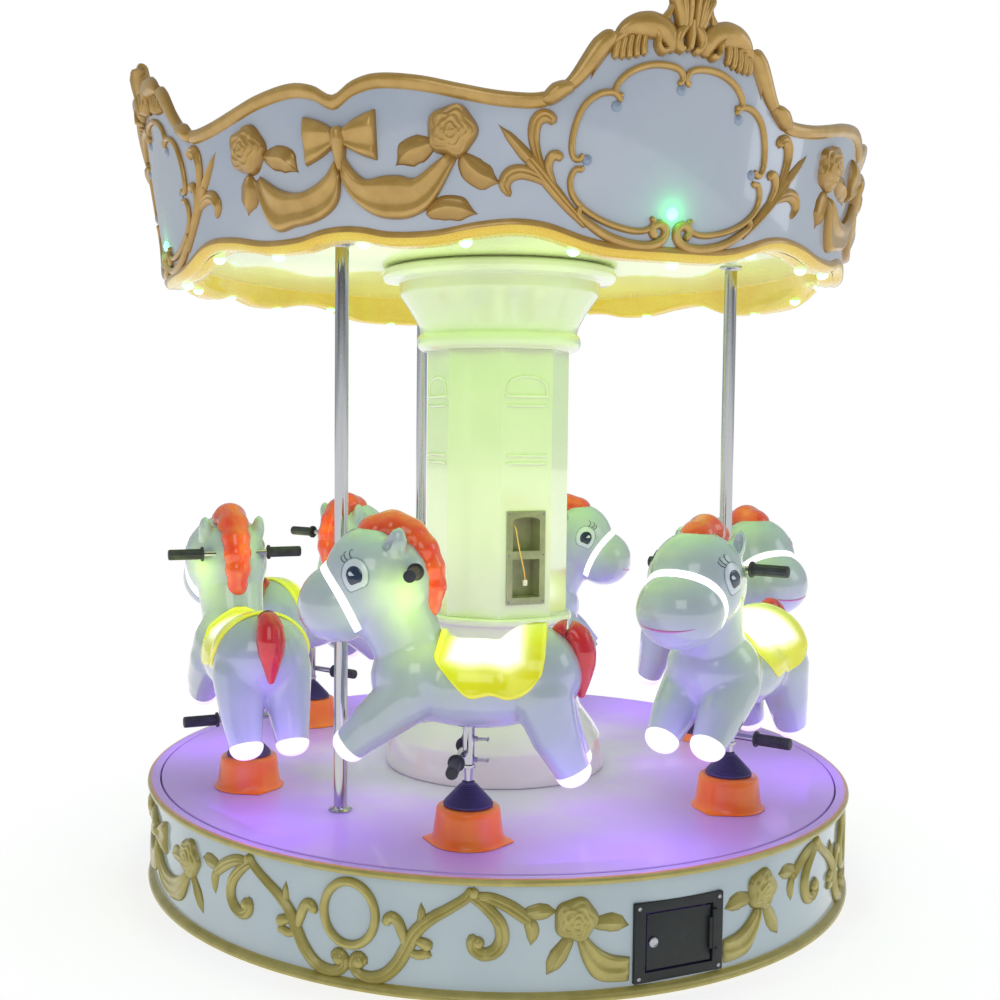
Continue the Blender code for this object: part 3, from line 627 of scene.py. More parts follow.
class Sketch:
    """Gathers grids of points into one mesh, with a finish and a relief value for each."""

    def __init__(self, *paints: Paint) -> None:
        """Start an empty mesh.

        Args:
            *paints: The finishes that grids refer to by number.
        """
        self.paints = paints
        self.points: list[np.ndarray] = []
        self.faces: list[np.ndarray] = []
        self.slots: list[np.ndarray] = []
        self.lids: list[list[int]] = []
        self.values: dict[str, list[np.ndarray]] = {"relief": [], "lit": []}
        self.count = 0

    def grid(
        self,
        points: np.ndarray,
        slot: int = 0,
        centre: np.ndarray | None = None,
        wrap: bool = False,
        relief: np.ndarray | float = 1.0,
        lit: np.ndarray | float = 0.0,
    ) -> None:
        """Add a grid of quads.

        Args:
            points: Array of rows by columns by 3.
            slot: Number of the finish.
            centre: What the faces point away from. The turning axis, if left out.
            wrap: Whether the last column joins the first.
            relief: Height share of each point, 0 in a hollow and 1 on a crest.
            lit: Share of inner light at each point.
        """
        rows, columns = points.shape[:2]
        number = self.count + np.arange(rows * columns).reshape(rows, columns)
        if wrap:
            number = np.concatenate([number, number[:, :1]], axis=1)
        faces = np.stack(
            [number[:-1, :-1], number[1:, :-1], number[1:, 1:], number[:-1, 1:]], axis=-1,
        ).reshape(-1, 4)
        local = faces - self.count
        flat = points.reshape(-1, 3)
        corner = flat[local[:, 0]]
        facing = np.cross(flat[local[:, 2]] - corner, flat[local[:, 3]] - flat[local[:, 1]])
        if centre is None:
            away = corner * (1.0, 1.0, 0.0)
        else:
            away = corner - np.broadcast_to(centre, points.shape).reshape(-1, 3)[local[:, 0]]
        if (facing * away).sum() < 0:
            faces = faces[:, ::-1]
        self.points.append(flat)
        self.faces.append(faces)
        self.slots.append(np.full(len(faces), slot))
        for key, value in (("relief", relief), ("lit", lit)):
            self.values[key].append(np.broadcast_to(value, points.shape[:2]).reshape(-1))
        self.count += len(flat)

    def tube(
        self,
        path: np.ndarray,
        radii: Sequence[float] | np.ndarray | float,
        slot: int = 0,
        sides: int = 14,
        wide: float = 1.0,
        up: Sequence[float] | None = None,
        caps: bool = True,
    ) -> None:
        """Add a round or oval bar along a path.

        Args:
            path: Points of the middle line.
            radii: Radius at each point, or values spread evenly along the path.
            slot: Number of the finish.
            sides: Number of faces round the bar.
            wide: Width of the section over its thickness.
            up: Direction of the section's thickness. Carried along the path, if left out.
            caps: Whether the ends are domed over.
        """
        path = np.asarray(path, float)
        spread = np.atleast_1d(np.asarray(radii, float))
        size = np.interp(np.linspace(0, 1, len(path)), np.linspace(0, 1, len(spread)), spread)
        tangent = np.gradient(path, axis=0)
        tangent /= np.linalg.norm(tangent, axis=1)[:, None]
        if up is None:
            first = Vector(tangent[0]).orthogonal().normalized()
            thick = [np.array(first)]
            for place in range(1, len(path)):
                turn = Vector(tangent[place - 1]).rotation_difference(Vector(tangent[place]))
                thick.append(np.array(turn @ Vector(thick[-1])))
            thickness = np.array(thick)
        else:
            across = np.cross(tangent, np.asarray(up, float))
            thickness = np.cross(across, tangent)
            thickness /= np.linalg.norm(thickness, axis=1)[:, None]
        side = np.cross(tangent, thickness)
        if caps:
            swing = np.radians((0.0, 22.0, 45.0, 68.0))
            start = path[0] - size[0] * np.cos(swing)[:, None] * tangent[0]
            end = path[-1] + size[-1] * np.cos(swing)[::-1, None] * tangent[-1]
            path = np.vstack([start, path, end])
            size = np.concatenate([size[0] * np.sin(swing), size, size[-1] * np.sin(swing)[::-1]])
            thickness = np.vstack([[thickness[0]] * 4, thickness, [thickness[-1]] * 4])
            side = np.vstack([[side[0]] * 4, side, [side[-1]] * 4])
        round_it = np.arange(sides) * math.tau / sides
        ring = (
            np.cos(round_it)[None, :, None] * side[:, None] * wide
            + np.sin(round_it)[None, :, None] * thickness[:, None]
        )
        points = path[:, None] + size[:, None, None] * ring
        self.grid(points, slot, path[:, None] * np.ones((1, sides, 1)), wrap=True)

    def revolve(
        self,
        profile: Sequence[Point],
        sides: int,
        slot: int = 0,
        place: Matrix | None = None,
    ) -> None:
        """Add a surface of revolution.

        Args:
            profile: (radius, height) pairs.
            sides: Number of faces round the axis.
            slot: Number of the finish.
            place: Where the axis is. Along the turning axis, if left out.
        """
        angles = np.arange(sides) * math.tau / sides
        outline = np.asarray(profile, float)
        points = np.empty((len(outline), sides, 3))
        points[..., 0] = outline[:, :1] * np.cos(angles)
        points[..., 1] = outline[:, :1] * np.sin(angles)
        points[..., 2] = outline[:, 1:]
        if place is not None:
            turn = np.array(place)
            points = points @ turn[:3, :3].T + turn[:3, 3]
        self.grid(points, slot, wrap=True)

    def lid(self, loop: np.ndarray) -> None:
        """Close a flat loop with one face of the first finish.

        Args:
            loop: Points round the loop, one row each.
        """
        self.lids.append(list(range(self.count, self.count + len(loop))))
        self.points.append(loop)
        for values in self.values.values():
            values.append(np.ones(len(loop)))
        self.count += len(loop)

    def mesh(self, name: str, closed: bool = False, sharp: float = 40.0) -> Mesh:
        """Make the mesh.

        Args:
            name: The mesh's name.
            closed: Whether every shape in it is closed, so that its faces can be turned outwards.
            sharp: Angle in degrees above which an edge stays crisp.

        Returns:
            The finished mesh.
        """
        mesh = bpy.data.meshes.new(name)
        faces = np.concatenate(self.faces).tolist() + self.lids
        slots = np.concatenate([*self.slots, np.zeros(len(self.lids))])
        mesh.from_pydata(np.concatenate(self.points).tolist(), [], faces)
        mesh.polygons.foreach_set("material_index", slots.astype(np.int32))
        for key, values in self.values.items():
            layer = mesh.attributes.new(key, "FLOAT", "POINT")
            layer.data.foreach_set("value", np.concatenate(values).astype(np.float32))
        work = bmesh.new()
        work.from_mesh(mesh)
        bmesh.ops.remove_doubles(work, verts=work.verts, dist=2e-6)
        if closed:
            bmesh.ops.recalc_face_normals(work, faces=work.faces)
        work.to_mesh(mesh)
        work.free()
        for paint in self.paints:
            mesh.materials.append(PALETTE[paint])
        return shade(mesh, sharp)


def turned(
    name: str,
    paint: Paint,
    profile: Sequence[Point],
    sides: int,
    place: Matrix | None = None,
    sharp: float = 40.0,
) -> Mesh:
    """A closed solid of revolution in one finish.

    Args:
        name: The mesh's name.
        paint: Its finish.
        profile: (radius, height) pairs.
        sides: Number of faces round the axis.
        place: Where the axis is. Along the turning axis, if left out.
        sharp: Angle in degrees above which an edge stays crisp.

    Returns:
        The new mesh.
    """
    sketch = Sketch(paint)
    sketch.revolve(profile, sides, place=place)
    return sketch.mesh(name, closed=True, sharp=sharp)


def show(
    name: str, mesh: Mesh, body: str, replaces: Sequence[str] = (),
) -> Object:
    """Put a finished mesh on one of the carousel's bodies.

    Args:
        name: The piece's name.
        mesh: Its mesh, in place.
        body: The body that it moves with.
        replaces: Nodes that it stands for.

    Returns:
        The new object.
    """
    piece = link(name, mesh)
    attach(piece, body)
    if replaces:
        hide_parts(*replaces)
    LOG.info("%s: %d faces on %s", name, len(mesh.polygons), body)
    return piece


def modified(
    mesh: Mesh, *settings: tuple[str, dict[str, object]],
) -> Mesh:
    """A copy of a mesh with modifiers applied.

    Args:
        mesh: The mesh to start from.
        *settings: Type and properties of each modifier, in order.

    Returns:
        The new mesh.
    """
    helper = link("helper", mesh)
    for kind, values in settings:
        modifier = helper.modifiers.new(kind.title(), kind)
        for key, value in values.items():
            setattr(modifier, key, value)
    return final_mesh(helper)


def cut(mesh: Mesh, shape: Mesh) -> Mesh:
    """A copy of a mesh with a closed shape cut out of it.

    Args:
        mesh: The mesh to cut.
        shape: The closed shape.

    Returns:
        The new mesh.
    """
    cutter = link("cutter", shape)
    made = modified(mesh, ("BOOLEAN", {"operation": "DIFFERENCE", "object": cutter}))
    bpy.data.objects.remove(cutter, do_unlink=True)
    return made


def box_mesh(low: Sequence[float], high: Sequence[float], bevel: float) -> Mesh:
    """A box with rounded edges.

    Args:
        low: Its lowest corner.
        high: Its highest corner.
        bevel: Radius of its edges.

    Returns:
        The new mesh.
    """
    work = bmesh.new()
    bmesh.ops.create_cube(work, size=1.0)
    bmesh.ops.scale(work, vec=Vector(high) - Vector(low), verts=work.verts)
    bmesh.ops.translate(work, vec=(Vector(high) + Vector(low)) / 2, verts=work.verts)
    mesh = bpy.data.meshes.new("box")
    work.to_mesh(mesh)
    work.free()
    if not bevel:
        return mesh
    return modified(mesh, ("BEVEL", {"width": bevel, "segments": 3}))


def joined(
    name: str, parts: Sequence[tuple[Mesh, Paint]], sharp: float = 35.0,
) -> Mesh:
    """One mesh out of several, each with its own finish.

    Args:
        name: The new mesh's name.
        parts: Meshes and their finishes.
        sharp: Angle in degrees above which an edge stays crisp.

    Returns:
        The new mesh.
    """
    work = bmesh.new()
    paints = list(dict.fromkeys(paint for _, paint in parts))
    for mesh, paint in parts:
        start = len(work.faces)
        work.from_mesh(mesh)
        work.faces.ensure_lookup_table()
        for face in work.faces[start:]:
            face.material_index = paints.index(paint)
    made = bpy.data.meshes.new(name)
    work.to_mesh(made)
    work.free()
    made.materials.clear()
    for paint in paints:
        made.materials.append(PALETTE[paint])
    return shade(made, sharp)


@dataclass(frozen=True)
class CopyTree:
    """Node tree that sets a copy of a small shape on every point of a mesh, facing outwards."""

    name: str = "copies on points"

    def build(self) -> NodeTree:
        """Make the tree.

        Returns:
            The tree, with inputs for the shape, its size and its material.
        """
        tree = bpy.data.node_groups.new(self.name, "GeometryNodeTree")
        sockets = tree.interface
        sockets.new_socket("Geometry", in_out="OUTPUT", socket_type="NodeSocketGeometry")
        sockets.new_socket("Geometry", in_out="INPUT", socket_type="NodeSocketGeometry")
        sockets.new_socket("Shape", in_out="INPUT", socket_type="NodeSocketObject")
        sockets.new_socket("Size", in_out="INPUT", socket_type="NodeSocketFloat")
        sockets.new_socket("Material", in_out="INPUT", socket_type="NodeSocketMaterial")
        given = add_node(tree, "NodeGroupInput").outputs
        shape = add_node(tree, "GeometryNodeObjectInfo", {"Object": given["Shape"]})
        facing = add_node(
            tree, "GeometryNodeInputNamedAttribute", {"Name": "facing"}, data_type="FLOAT_VECTOR",
        )
        turn = add_node(
            tree, "FunctionNodeAlignRotationToVector", {"Vector": facing.outputs["Attribute"]},
            axis="Z",
        )
        copies = add_node(
            tree, "GeometryNodeInstanceOnPoints",
            {
                "Points": given["Geometry"],
                "Instance": shape.outputs["Geometry"],
                "Rotation": turn.outputs["Rotation"],
                "Scale": given["Size"],
            },
        )
        real = add_node(
            tree, "GeometryNodeRealizeInstances", {"Geometry": copies.outputs["Instances"]},
        )
        dressed = add_node(
            tree, "GeometryNodeSetMaterial",
            {"Geometry": real.outputs["Geometry"], "Material": given["Material"]},
        )
        add_node(tree, "NodeGroupOutput", {"Geometry": dressed.outputs["Geometry"]})
        return tree


class Copier:
    """Sets copies of a small shape through the node tree and turns them into one mesh."""

    def __init__(self) -> None:
        """Make the tree once."""
        self.tree = CopyTree().build()

    def copies(
        self,
        name: str,
        shape: Mesh,
        places: Sequence[tuple[Sequence[float], Sequence[float]]],
        paint: Paint,
        size: float = 1.0,
    ) -> Mesh:
        """One mesh of many copies.

        Args:
            name: The mesh's name.
            shape: The mesh that is copied, standing along its own +Z.
            places: Point and outward direction of each copy.
            paint: The finish of the copies.
            size: Scale of the shape.

        Returns:
            The new mesh.
        """
        pattern = link("pattern", shape)
        points = bpy.data.meshes.new("places")
        points.from_pydata([tuple(place) for place, _ in places], [], [])
        layer = points.attributes.new("facing", "FLOAT_VECTOR", "POINT")
        layer.data.foreach_set("vector", np.array([list(way) for _, way in places]).ravel())
        helper = link("helper", points)
        modifier = helper.modifiers.new("copies", "NODES")
        modifier.node_group = self.tree
        values = {"Shape": pattern, "Size": size, "Material": PALETTE[paint]}
        for item in self.tree.interface.items_tree:
            if item.in_out == "INPUT" and item.name in values:
                modifier[item.identifier] = values[item.name]
        mesh = final_mesh(helper)
        mesh.name = name
        bpy.data.objects.remove(pattern, do_unlink=True)
        return shade(mesh, 40.0)


@dataclass(frozen=True)
class Wall:
    """A wall of revolution that relief lies on."""

    foot: float
    foot_radius: float
    flare: float

    def radius(self, height: np.ndarray | float) -> np.ndarray | float:
        """Radius of the wall at a height."""
        return self.foot_radius + self.flare * (height - self.foot)

    def place(self, u: np.ndarray, z: np.ndarray, lift: np.ndarray, centre: float) -> np.ndarray:
        """Points on or above the wall.

        Args:
            u: Metres along the wall.
            z: Heights.
            lift: Distances out from the wall.
            centre: Angle of u = 0.

        Returns:
            Array with a last axis of x, y and z.
        """
        angle = np.radians(centre) + np.asarray(u) / ARC_RADIUS
        radius = self.radius(np.asarray(z)) + lift
        return np.stack([radius * np.sin(angle), -radius * np.cos(angle), z + 0 * radius], axis=-1)


class Section(Enum):
    """Cross sections of carved strokes."""

    ROUND = "round"
    LEAF = "leaf"
    FLUTE = "flute"


class Carving(Sketch):
    """Carved relief on a wall."""

    def __init__(self, wall: Wall, centre: float, *paints: Paint) -> None:
        """Start an empty relief.

        Args:
            wall: The wall it lies on.
            centre: Angle of its middle.
            *paints: Its finishes.
        """
        super().__init__(*paints)
        self.wall = wall
        self.centre = centre

    def lay(self, u: np.ndarray, z: np.ndarray, lift: np.ndarray, slot: int = 0) -> None:
        """Add a grid of relief.

        Args:
            u: Metres along the wall.
            z: Heights.
            lift: Distances out from the wall.
            slot: Number of the finish.
        """
        # The height share marks hollows, which finishes with a hollow colour darken as painted shade
        share = np.clip(lift / max(float(lift.max()), 1e-6), 0.0, 1.0)
        self.grid(self.wall.place(u, z, lift, self.centre), slot, relief=share)

    def stroke(
        self,
        route: Sequence[Point],
        widths: Sequence[float],
        height: float,
        section: Section = Section.ROUND,
        pointed: bool = False,
        both: bool = True,
    ) -> None:
        """Add a stroke, and its mirror image about u = 0.

        Args:
            route: (u, z) points of the middle line.
            widths: Half widths spread evenly along it.
            height: Height of its crest.
            section: Shape of its cross section.
            pointed: Whether its far end runs out to a point.
            both: Whether the mirror image is added too.
        """
        path = even_route(route, 0.006)
        count = len(path)
        along = np.linspace(0, 1, count)
        half = np.interp(along, np.linspace(0, 1, len(widths)), widths)
        length = np.linalg.norm(np.diff(path, axis=0), axis=1).sum()
        ends = [along * length] if pointed else [along * length, (1 - along) * length]
        for distance in ends:
            share = np.clip(distance / np.maximum(half, 1e-4), 0.0, 1.0)
            half = half * np.sqrt(np.clip(1 - (1 - share) ** 2, 0.003, 1.0))
        if pointed:
            half = half * np.clip((1 - along) * 4.0, 0.02, 1.0) ** 0.8
        tangent = np.gradient(path, axis=0)
        tangent /= np.linalg.norm(tangent, axis=1)[:, None]
        across = np.stack([-tangent[:, 1], tangent[:, 0]], axis=1)
        span = -np.cos(np.linspace(0, math.pi, 11))
        lift = np.sqrt(np.clip(1 - span**2, 0, 1))
        if section is Section.LEAF:
            lift = 0.62 * lift**0.7 + 0.38 * np.exp(-((span / 0.16) ** 2))
            lift *= np.clip(1 - span**8, 0, 1)
        elif section is Section.FLUTE:
            lift = lift * (0.70 + 0.30 * np.abs(np.sin(1.5 * math.pi * span)))
        scale = np.clip(half / max(half.max(), 1e-6), 0.05, 1.0) ** 0.6
        rise = height * scale[:, None] * lift - SUNK
        u = path[:, :1] + across[:, :1] * half[:, None] * span
        z = path[:, 1:] + across[:, 1:] * half[:, None] * span
        self.lay(u, z, rise)
        if both:
            self.lay(-u, z, rise)

    def cloth(
        self,
        upper: Sequence[Point],
        lower: Sequence[Point],
        height: float,
        folds: float,
        slant: float = 0.0,
        both: bool = True,
    ) -> None:
        """Add a piece of folded cloth between two edges, and its mirror image.

        Args:
            upper: (u, z) points of one edge.
            lower: (u, z) points of the other edge.
            height: Height of its crests.
            folds: Number of folds across it.
            slant: How far the folds drift across it along its length.
            both: Whether the mirror image is added too.
        """
        rows, columns = 36, 33
        top = smooth_route(upper, rows)
        bottom = smooth_route(lower, rows)
        share = np.linspace(0, 1, columns)[None, :, None]
        points = top[:, None] * (1 - share) + bottom[:, None] * share
        along = np.linspace(0, 1, rows)[:, None]
        across = share[..., 0]
        edge = np.clip(1 - np.abs(2 * across - 1) ** 6, 0, 1) ** 0.5
        ends = np.clip(1 - np.abs(2 * along - 1) ** 10, 0, 1) ** 0.5
        wave = 0.5 - 0.5 * np.cos(math.tau * (folds * across + slant * along))
        lift = height * edge * ends * (0.72 + 0.28 * wave) - SUNK
        self.lay(points[..., 0], points[..., 1], lift)
        if both:
            self.lay(-points[..., 0], points[..., 1], lift)

    def rose(self, u: float, z: float, size: float, height: float, turn: float = 0.0) -> None:
        """Add an open rose.

        Args:
            u: Its middle along the wall.
            z: Its middle height.
            size: Its radius.
            height: Height of its bud.
            turn: Turn of its petals in degrees.
        """
        out = np.linspace(0.0, 1.0, 30)[:, None] ** 0.85
        around = np.linspace(0, math.tau, 73)[None, :] + math.radians(turn)
        brim = 1 - 0.045 * (1 - np.cos(5 * around))
        lift = 0.42 * height * np.sqrt(np.clip(1 - out**5, 0, 1)) * np.ones_like(around)
        # Reach, number, turn and rise of each ring of petals
        layers = (
            (0.97, 5, 0.0, 0.16), (0.72, 5, 0.9, 0.20), (0.47, 4, 0.4, 0.20), (0.24, 3, 1.1, 0.14),
        )
        for reach, petals, phase, rise in layers:
            edge = reach * (1 - 0.16 * (0.5 - 0.5 * np.cos(petals * around + phase)))
            inside = 1 / (1 + np.exp((out - edge) / 0.040))
            lip = np.exp(-(((out - edge + 0.07) / 0.075) ** 2))
            lift += height * rise * (0.55 * inside + 0.50 * lip)
        lift *= np.clip((1.0 - out) / 0.10, 0, 1) ** 0.5
        reach = size * out * brim
        self.lay(u + reach * np.cos(around), z + reach * np.sin(around), lift - SUNK)

    def dome(self, u: float, z: float, half_u: float, half_z: float, height: float) -> None:
        """Add an oval dome.

        Args:
            u: Its middle along the wall.
            z: Its middle height.
            half_u: Half its width.
            half_z: Half its height along the wall.
            height: How far it stands out.
        """
        out = np.sin(np.linspace(0, math.pi / 2, 10))[:, None]
        around = np.linspace(0, math.tau, 33)[None, :]
        lift = height * np.sqrt(np.clip(1 - out**2, 0, 1)) + 0 * around - 0.001
        self.lay(u + half_u * out * np.cos(around), z + half_z * out * np.sin(around), lift)


def outline_height(outline: Sequence[Point], angle: float) -> float:
    """Height on a smooth outline that repeats each quarter turn and mirrors about 0 degrees.

    Args:
        outline: (angle, height) pairs from 0 to 45 degrees.
        angle: Any angle in degrees.

    Returns:
        The height there.
    """
    folded = abs((angle + 45.0) % 90.0 - 45.0)
    last = len(outline) - 1
    for index in range(last):
        (left, low), (right, high) = outline[index:index + 2]
        if folded > right:
            continue
        width = right - left
        share = (folded - left) / width
        slopes = []
        for knot in (index, index + 1):
            if knot in (0, last):
                slopes.append(0.0)
                continue
            before, after = outline[knot - 1], outline[knot + 1]
            slopes.append((after[1] - before[1]) / (after[0] - before[0]) * width)
        return (
            low * (1 + 2 * share) * (1 - share) ** 2
            + slopes[0] * share * (1 - share) ** 2
            + high * share**2 * (3 - 2 * share)
            - slopes[1] * share**2 * (1 - share)
        )
    return outline[-1][1]


@dataclass
class Drum:
    """The round base: wall, rolled rim, foot bead and carved relief."""

    radius: float = 1.076
    wall: float = 0.012
    rim_outer: float = 1.097
    rim_inner: float = 1.059
    foot_outer: float = 1.097
    deck_top: float = 0.306
    rim_depth: float = 0.019
    door_half: float = 0.1278
    door_low: float = 0.0287
    door_high: float = 0.2283
    relief_turn: float = -44.4

    def profile(self) -> tuple[list[Point], list[int]]:
        """Section through the wall.

        Returns:
            (radius, height) pairs, and for each span the number of its finish.
        """
        inner = self.radius - self.wall
        rim_foot = self.deck_top - self.rim_depth
        foot = [
            (inner, 0.0), (self.foot_outer - 0.006, 0.0), (self.foot_outer - 0.001, 0.003),
            (self.foot_outer, 0.009), (self.foot_outer - 0.003, 0.015),
            (self.foot_outer - 0.009, 0.019), (self.radius + 0.003, 0.021),
            (self.radius, 0.024),
        ]
        rim = [
            (self.radius, rim_foot - 0.003), (self.radius + 0.003, rim_foot - 0.001),
            (self.rim_outer - 0.008, rim_foot), (self.rim_outer - 0.002, rim_foot + 0.003),
            (self.rim_outer, rim_foot + 0.009), (self.rim_outer - 0.001, rim_foot + 0.014),
            (self.rim_outer - 0.005, self.deck_top - 0.001), (self.rim_outer - 0.012, self.deck_top),
        ]
        top = [
            (self.rim_inner + 0.006, self.deck_top), (self.rim_inner + 0.001, self.deck_top - 0.002),
            (self.rim_inner, self.deck_top - 0.008), (self.rim_inner, rim_foot - 0.002),
            (inner, rim_foot - 0.008),
        ]
        points = foot + rim + top + [foot[0]]
        # Slot 2 is one thin span of painted highlight along the rim's top edge; slot 3 carries the
        # deck's lilac, with its painted light, over the rim top
        slots = [1] * 7 + [0] + [1] * 6 + [2] + [3] * 4 + [0] * 2
        return points, slots

    def build(self) -> None:
        """Make the four segments and dress them."""
        points, slots = self.profile()
        outline = np.asarray(points)
        for number, side in enumerate(SIDES):
            angles = np.radians(np.linspace(90.0 * number - 45.0, 90.0 * number + 45.0, 49))
            grid = np.empty((len(outline), len(angles), 3))
            grid[..., 0] = outline[:, :1] * np.sin(angles)
            grid[..., 1] = -outline[:, :1] * np.cos(angles)
            grid[..., 2] = outline[:, 1:]
            sketch = Sketch(Paint.SKIRT, Paint.OLIVE, Paint.LIP_HIGHLIGHT, Paint.DECK)
            for span, slot in enumerate(slots):
                sketch.grid(grid[span:span + 2], slot)
            for end in (0, -1):
                sketch.lid(grid[:-1, end])
            mesh = sketch.mesh(f"drum_wall_{side}", closed=True)
            if side == "front":
                opening = box_mesh((-self.door_half, -1.2, self.door_low),
                                   (self.door_half, -1.0, self.door_high), 0.0)
                mesh = shade(cut(mesh, opening), 40.0)
            show(f"drum_wall_{side}", mesh, "base", [f"skirt_{side}"])
        for number in range(4):
            self.carve(number)

    def carve(self, number: int) -> None:
        """Carve one oval ring with its scrolls, and one swag of roses.

        Args:
            number: Which quarter, from the front.
        """
        wall = Wall(0.0, self.radius, 0.0)
        ring = Carving(wall, self.relief_turn + 90.0 * number, Paint.OLIVE)
        self.ring_scrolls(ring)
        show(f"drum_scrolls_{SIDES[number]}", ring.mesh("scrolls"), "base")
        swag = Carving(wall, 90.0 * number, Paint.OLIVE)
        self.swag(swag, whole=number != 0)
        show(f"drum_swag_{SIDES[number]}", swag.mesh("swag"), "base")

    @staticmethod
    def ring_scrolls(relief: Carving) -> None:
        """The oval ring, the two scrolls beside it and the forked leaves on their ends.

        Args:
            relief: The relief to add to.
        """
        around = np.radians(np.linspace(-20, 380, 29))
        oval = [(0.069 * math.sin(turn), 0.186 + 0.079 * math.cos(turn)) for turn in around]
        relief.stroke(oval, (0.0120,), 0.015, both=False)
        relief.stroke(
            ((0.031, 0.062), (0.040, 0.074), (0.028, 0.084), (0.013, 0.074), (0.012, 0.054),
             (0.032, 0.037), (0.064, 0.034), (0.098, 0.048), (0.128, 0.080), (0.150, 0.120),
             (0.172, 0.162), (0.208, 0.196), (0.252, 0.224), (0.292, 0.252), (0.311, 0.278)),
            (0.011, 0.014, 0.017, 0.018, 0.018, 0.016, 0.014, 0.013), 0.017, Section.FLUTE,
        )
        relief.dome(0.027, 0.068, 0.017, 0.017, 0.016)
        relief.dome(-0.027, 0.068, 0.017, 0.017, 0.016)
        relief.stroke(
            ((0.150, 0.118), (0.140, 0.150), (0.128, 0.180), (0.112, 0.192), (0.100, 0.182),
             (0.104, 0.168)),
            (0.010, 0.014, 0.015, 0.014), 0.014,
        )
        relief.stroke(((0.182, 0.170), (0.186, 0.198), (0.184, 0.236)), (0.013, 0.012, 0.005), 0.012,
                      Section.LEAF, pointed=True)
        relief.stroke(((0.168, 0.140), (0.192, 0.134), (0.212, 0.122)), (0.010, 0.015, 0.018), 0.014)
        relief.stroke(((0.150, 0.112), (0.176, 0.104), (0.198, 0.108), (0.204, 0.096)),
                      (0.009, 0.013, 0.012), 0.011)
        relief.stroke(
            ((0.300, 0.262), (0.340, 0.232), (0.372, 0.196), (0.380, 0.158), (0.366, 0.128),
             (0.338, 0.116), (0.314, 0.128), (0.310, 0.150), (0.322, 0.158)),
            (0.012, 0.015, 0.017, 0.018, 0.017, 0.015), 0.016, Section.FLUTE,
        )
        relief.dome(0.322, 0.144, 0.016, 0.016, 0.015)
        relief.dome(-0.322, 0.144, 0.016, 0.016, 0.015)
        relief.stroke(((0.311, 0.280), (0.311, 0.250)), (0.013, 0.015), 0.015)
        relief.stroke(
            ((0.312, 0.256), (0.350, 0.254), (0.390, 0.238), (0.424, 0.216), (0.448, 0.196)),
            (0.012, 0.016, 0.018, 0.016), 0.014, Section.FLUTE,
        )
        relief.stroke(((0.428, 0.216), (0.472, 0.222), (0.510, 0.222)), (0.016, 0.023, 0.015), 0.012,
                      Section.LEAF, pointed=True)
        relief.stroke(((0.440, 0.206), (0.452, 0.176), (0.448, 0.138)), (0.018, 0.018, 0.008), 0.012,
                      Section.LEAF, pointed=True)

    @staticmethod
    def swag(relief: Carving, whole: bool) -> None:
        """Two roses with their leaves and hangings, and a bow between them if there is room.

        Args:
            relief: The relief to add to.
            whole: Whether the middle is free of the service door.
        """
        for side in (-1.0, 1.0):
            relief.rose(side * 0.272, 0.200, 0.058, 0.030, 40.0 * side)
        relief.stroke(((0.284, 0.160), (0.312, 0.116), (0.343, 0.066)), (0.015, 0.025, 0.016), 0.013,
                      Section.LEAF, pointed=True)
        relief.stroke(((0.232, 0.186), (0.186, 0.188), (0.138, 0.176)), (0.016, 0.026, 0.016), 0.013,
                      Section.LEAF, pointed=True)
        if not whole:
            relief.cloth(
                ((0.246, 0.160), (0.215, 0.128), (0.180, 0.108), (0.134, 0.098)),
                ((0.272, 0.154), (0.252, 0.090), (0.216, 0.046), (0.134, 0.036)),
                0.016, 2.0, 0.3,
            )
            return
        relief.cloth(
            ((0.010, 0.182), (0.040, 0.140), (0.090, 0.118), (0.150, 0.116), (0.210, 0.134),
             (0.256, 0.164)),
            ((-0.002, 0.172), (0.016, 0.098), (0.070, 0.056), (0.150, 0.046), (0.226, 0.070),
             (0.276, 0.150)),
            0.016, 3.0, 0.3,
        )
        relief.cloth(
            ((0.014, 0.216), (0.050, 0.240), (0.092, 0.252)),
            ((0.014, 0.188), (0.050, 0.164), (0.092, 0.152)),
            0.018, 2.0,
        )
        relief.dome(0.0, 0.202, 0.020, 0.023, 0.024)


@dataclass
class Floor:
    """The turning deck."""

    radius: float = 1.055
    top: float = 0.306
    thickness: float = 0.020
    bevel: float = 0.003
    bore: float = 0.0306
    stem_hole: float = 0.024

    def build(self) -> None:
        """Make the deck as a flat disc with a rounded edge and its holes."""
        curve = bpy.data.curves.new("deck_outline", "CURVE")
        curve.dimensions = "2D"
        curve.fill_mode = "BOTH"
        curve.extrude = self.thickness / 2 - self.bevel
        curve.bevel_depth = self.bevel
        curve.bevel_resolution = 2
        curve.offset = -self.bevel
        axis = Vector((0.0, 0.0, 0.0))
        rings = [(axis, self.radius, 192), (axis, self.bore, 32)]
        rings += [
            (polar(PONY_RADIUS, pony_angle(number), 0.0), self.stem_hole, 24)
            for number in range(len(PONY_DROPS))
        ]
        for middle, radius, count in rings:
            spline = curve.splines.new("POLY")
            spline.points.add(count - 1)
            spline.use_cyclic_u = True
            for step, knot in enumerate(spline.points):
                turn = math.tau * step / count
                knot.co = (
                    middle.x + radius * math.cos(turn), middle.y + radius * math.sin(turn), 0.0, 1.0,
                )
        mesh = final_mesh(link("deck_helper", curve))
        mesh.transform(Matrix.Translation((0.0, 0.0, self.top - self.thickness / 2)))
        mesh.materials.clear()
        mesh.materials.append(PALETTE[Paint.DECK])
        shade(mesh, 25.0)
        show("deck_floor", mesh, "turntable", ["deck"])


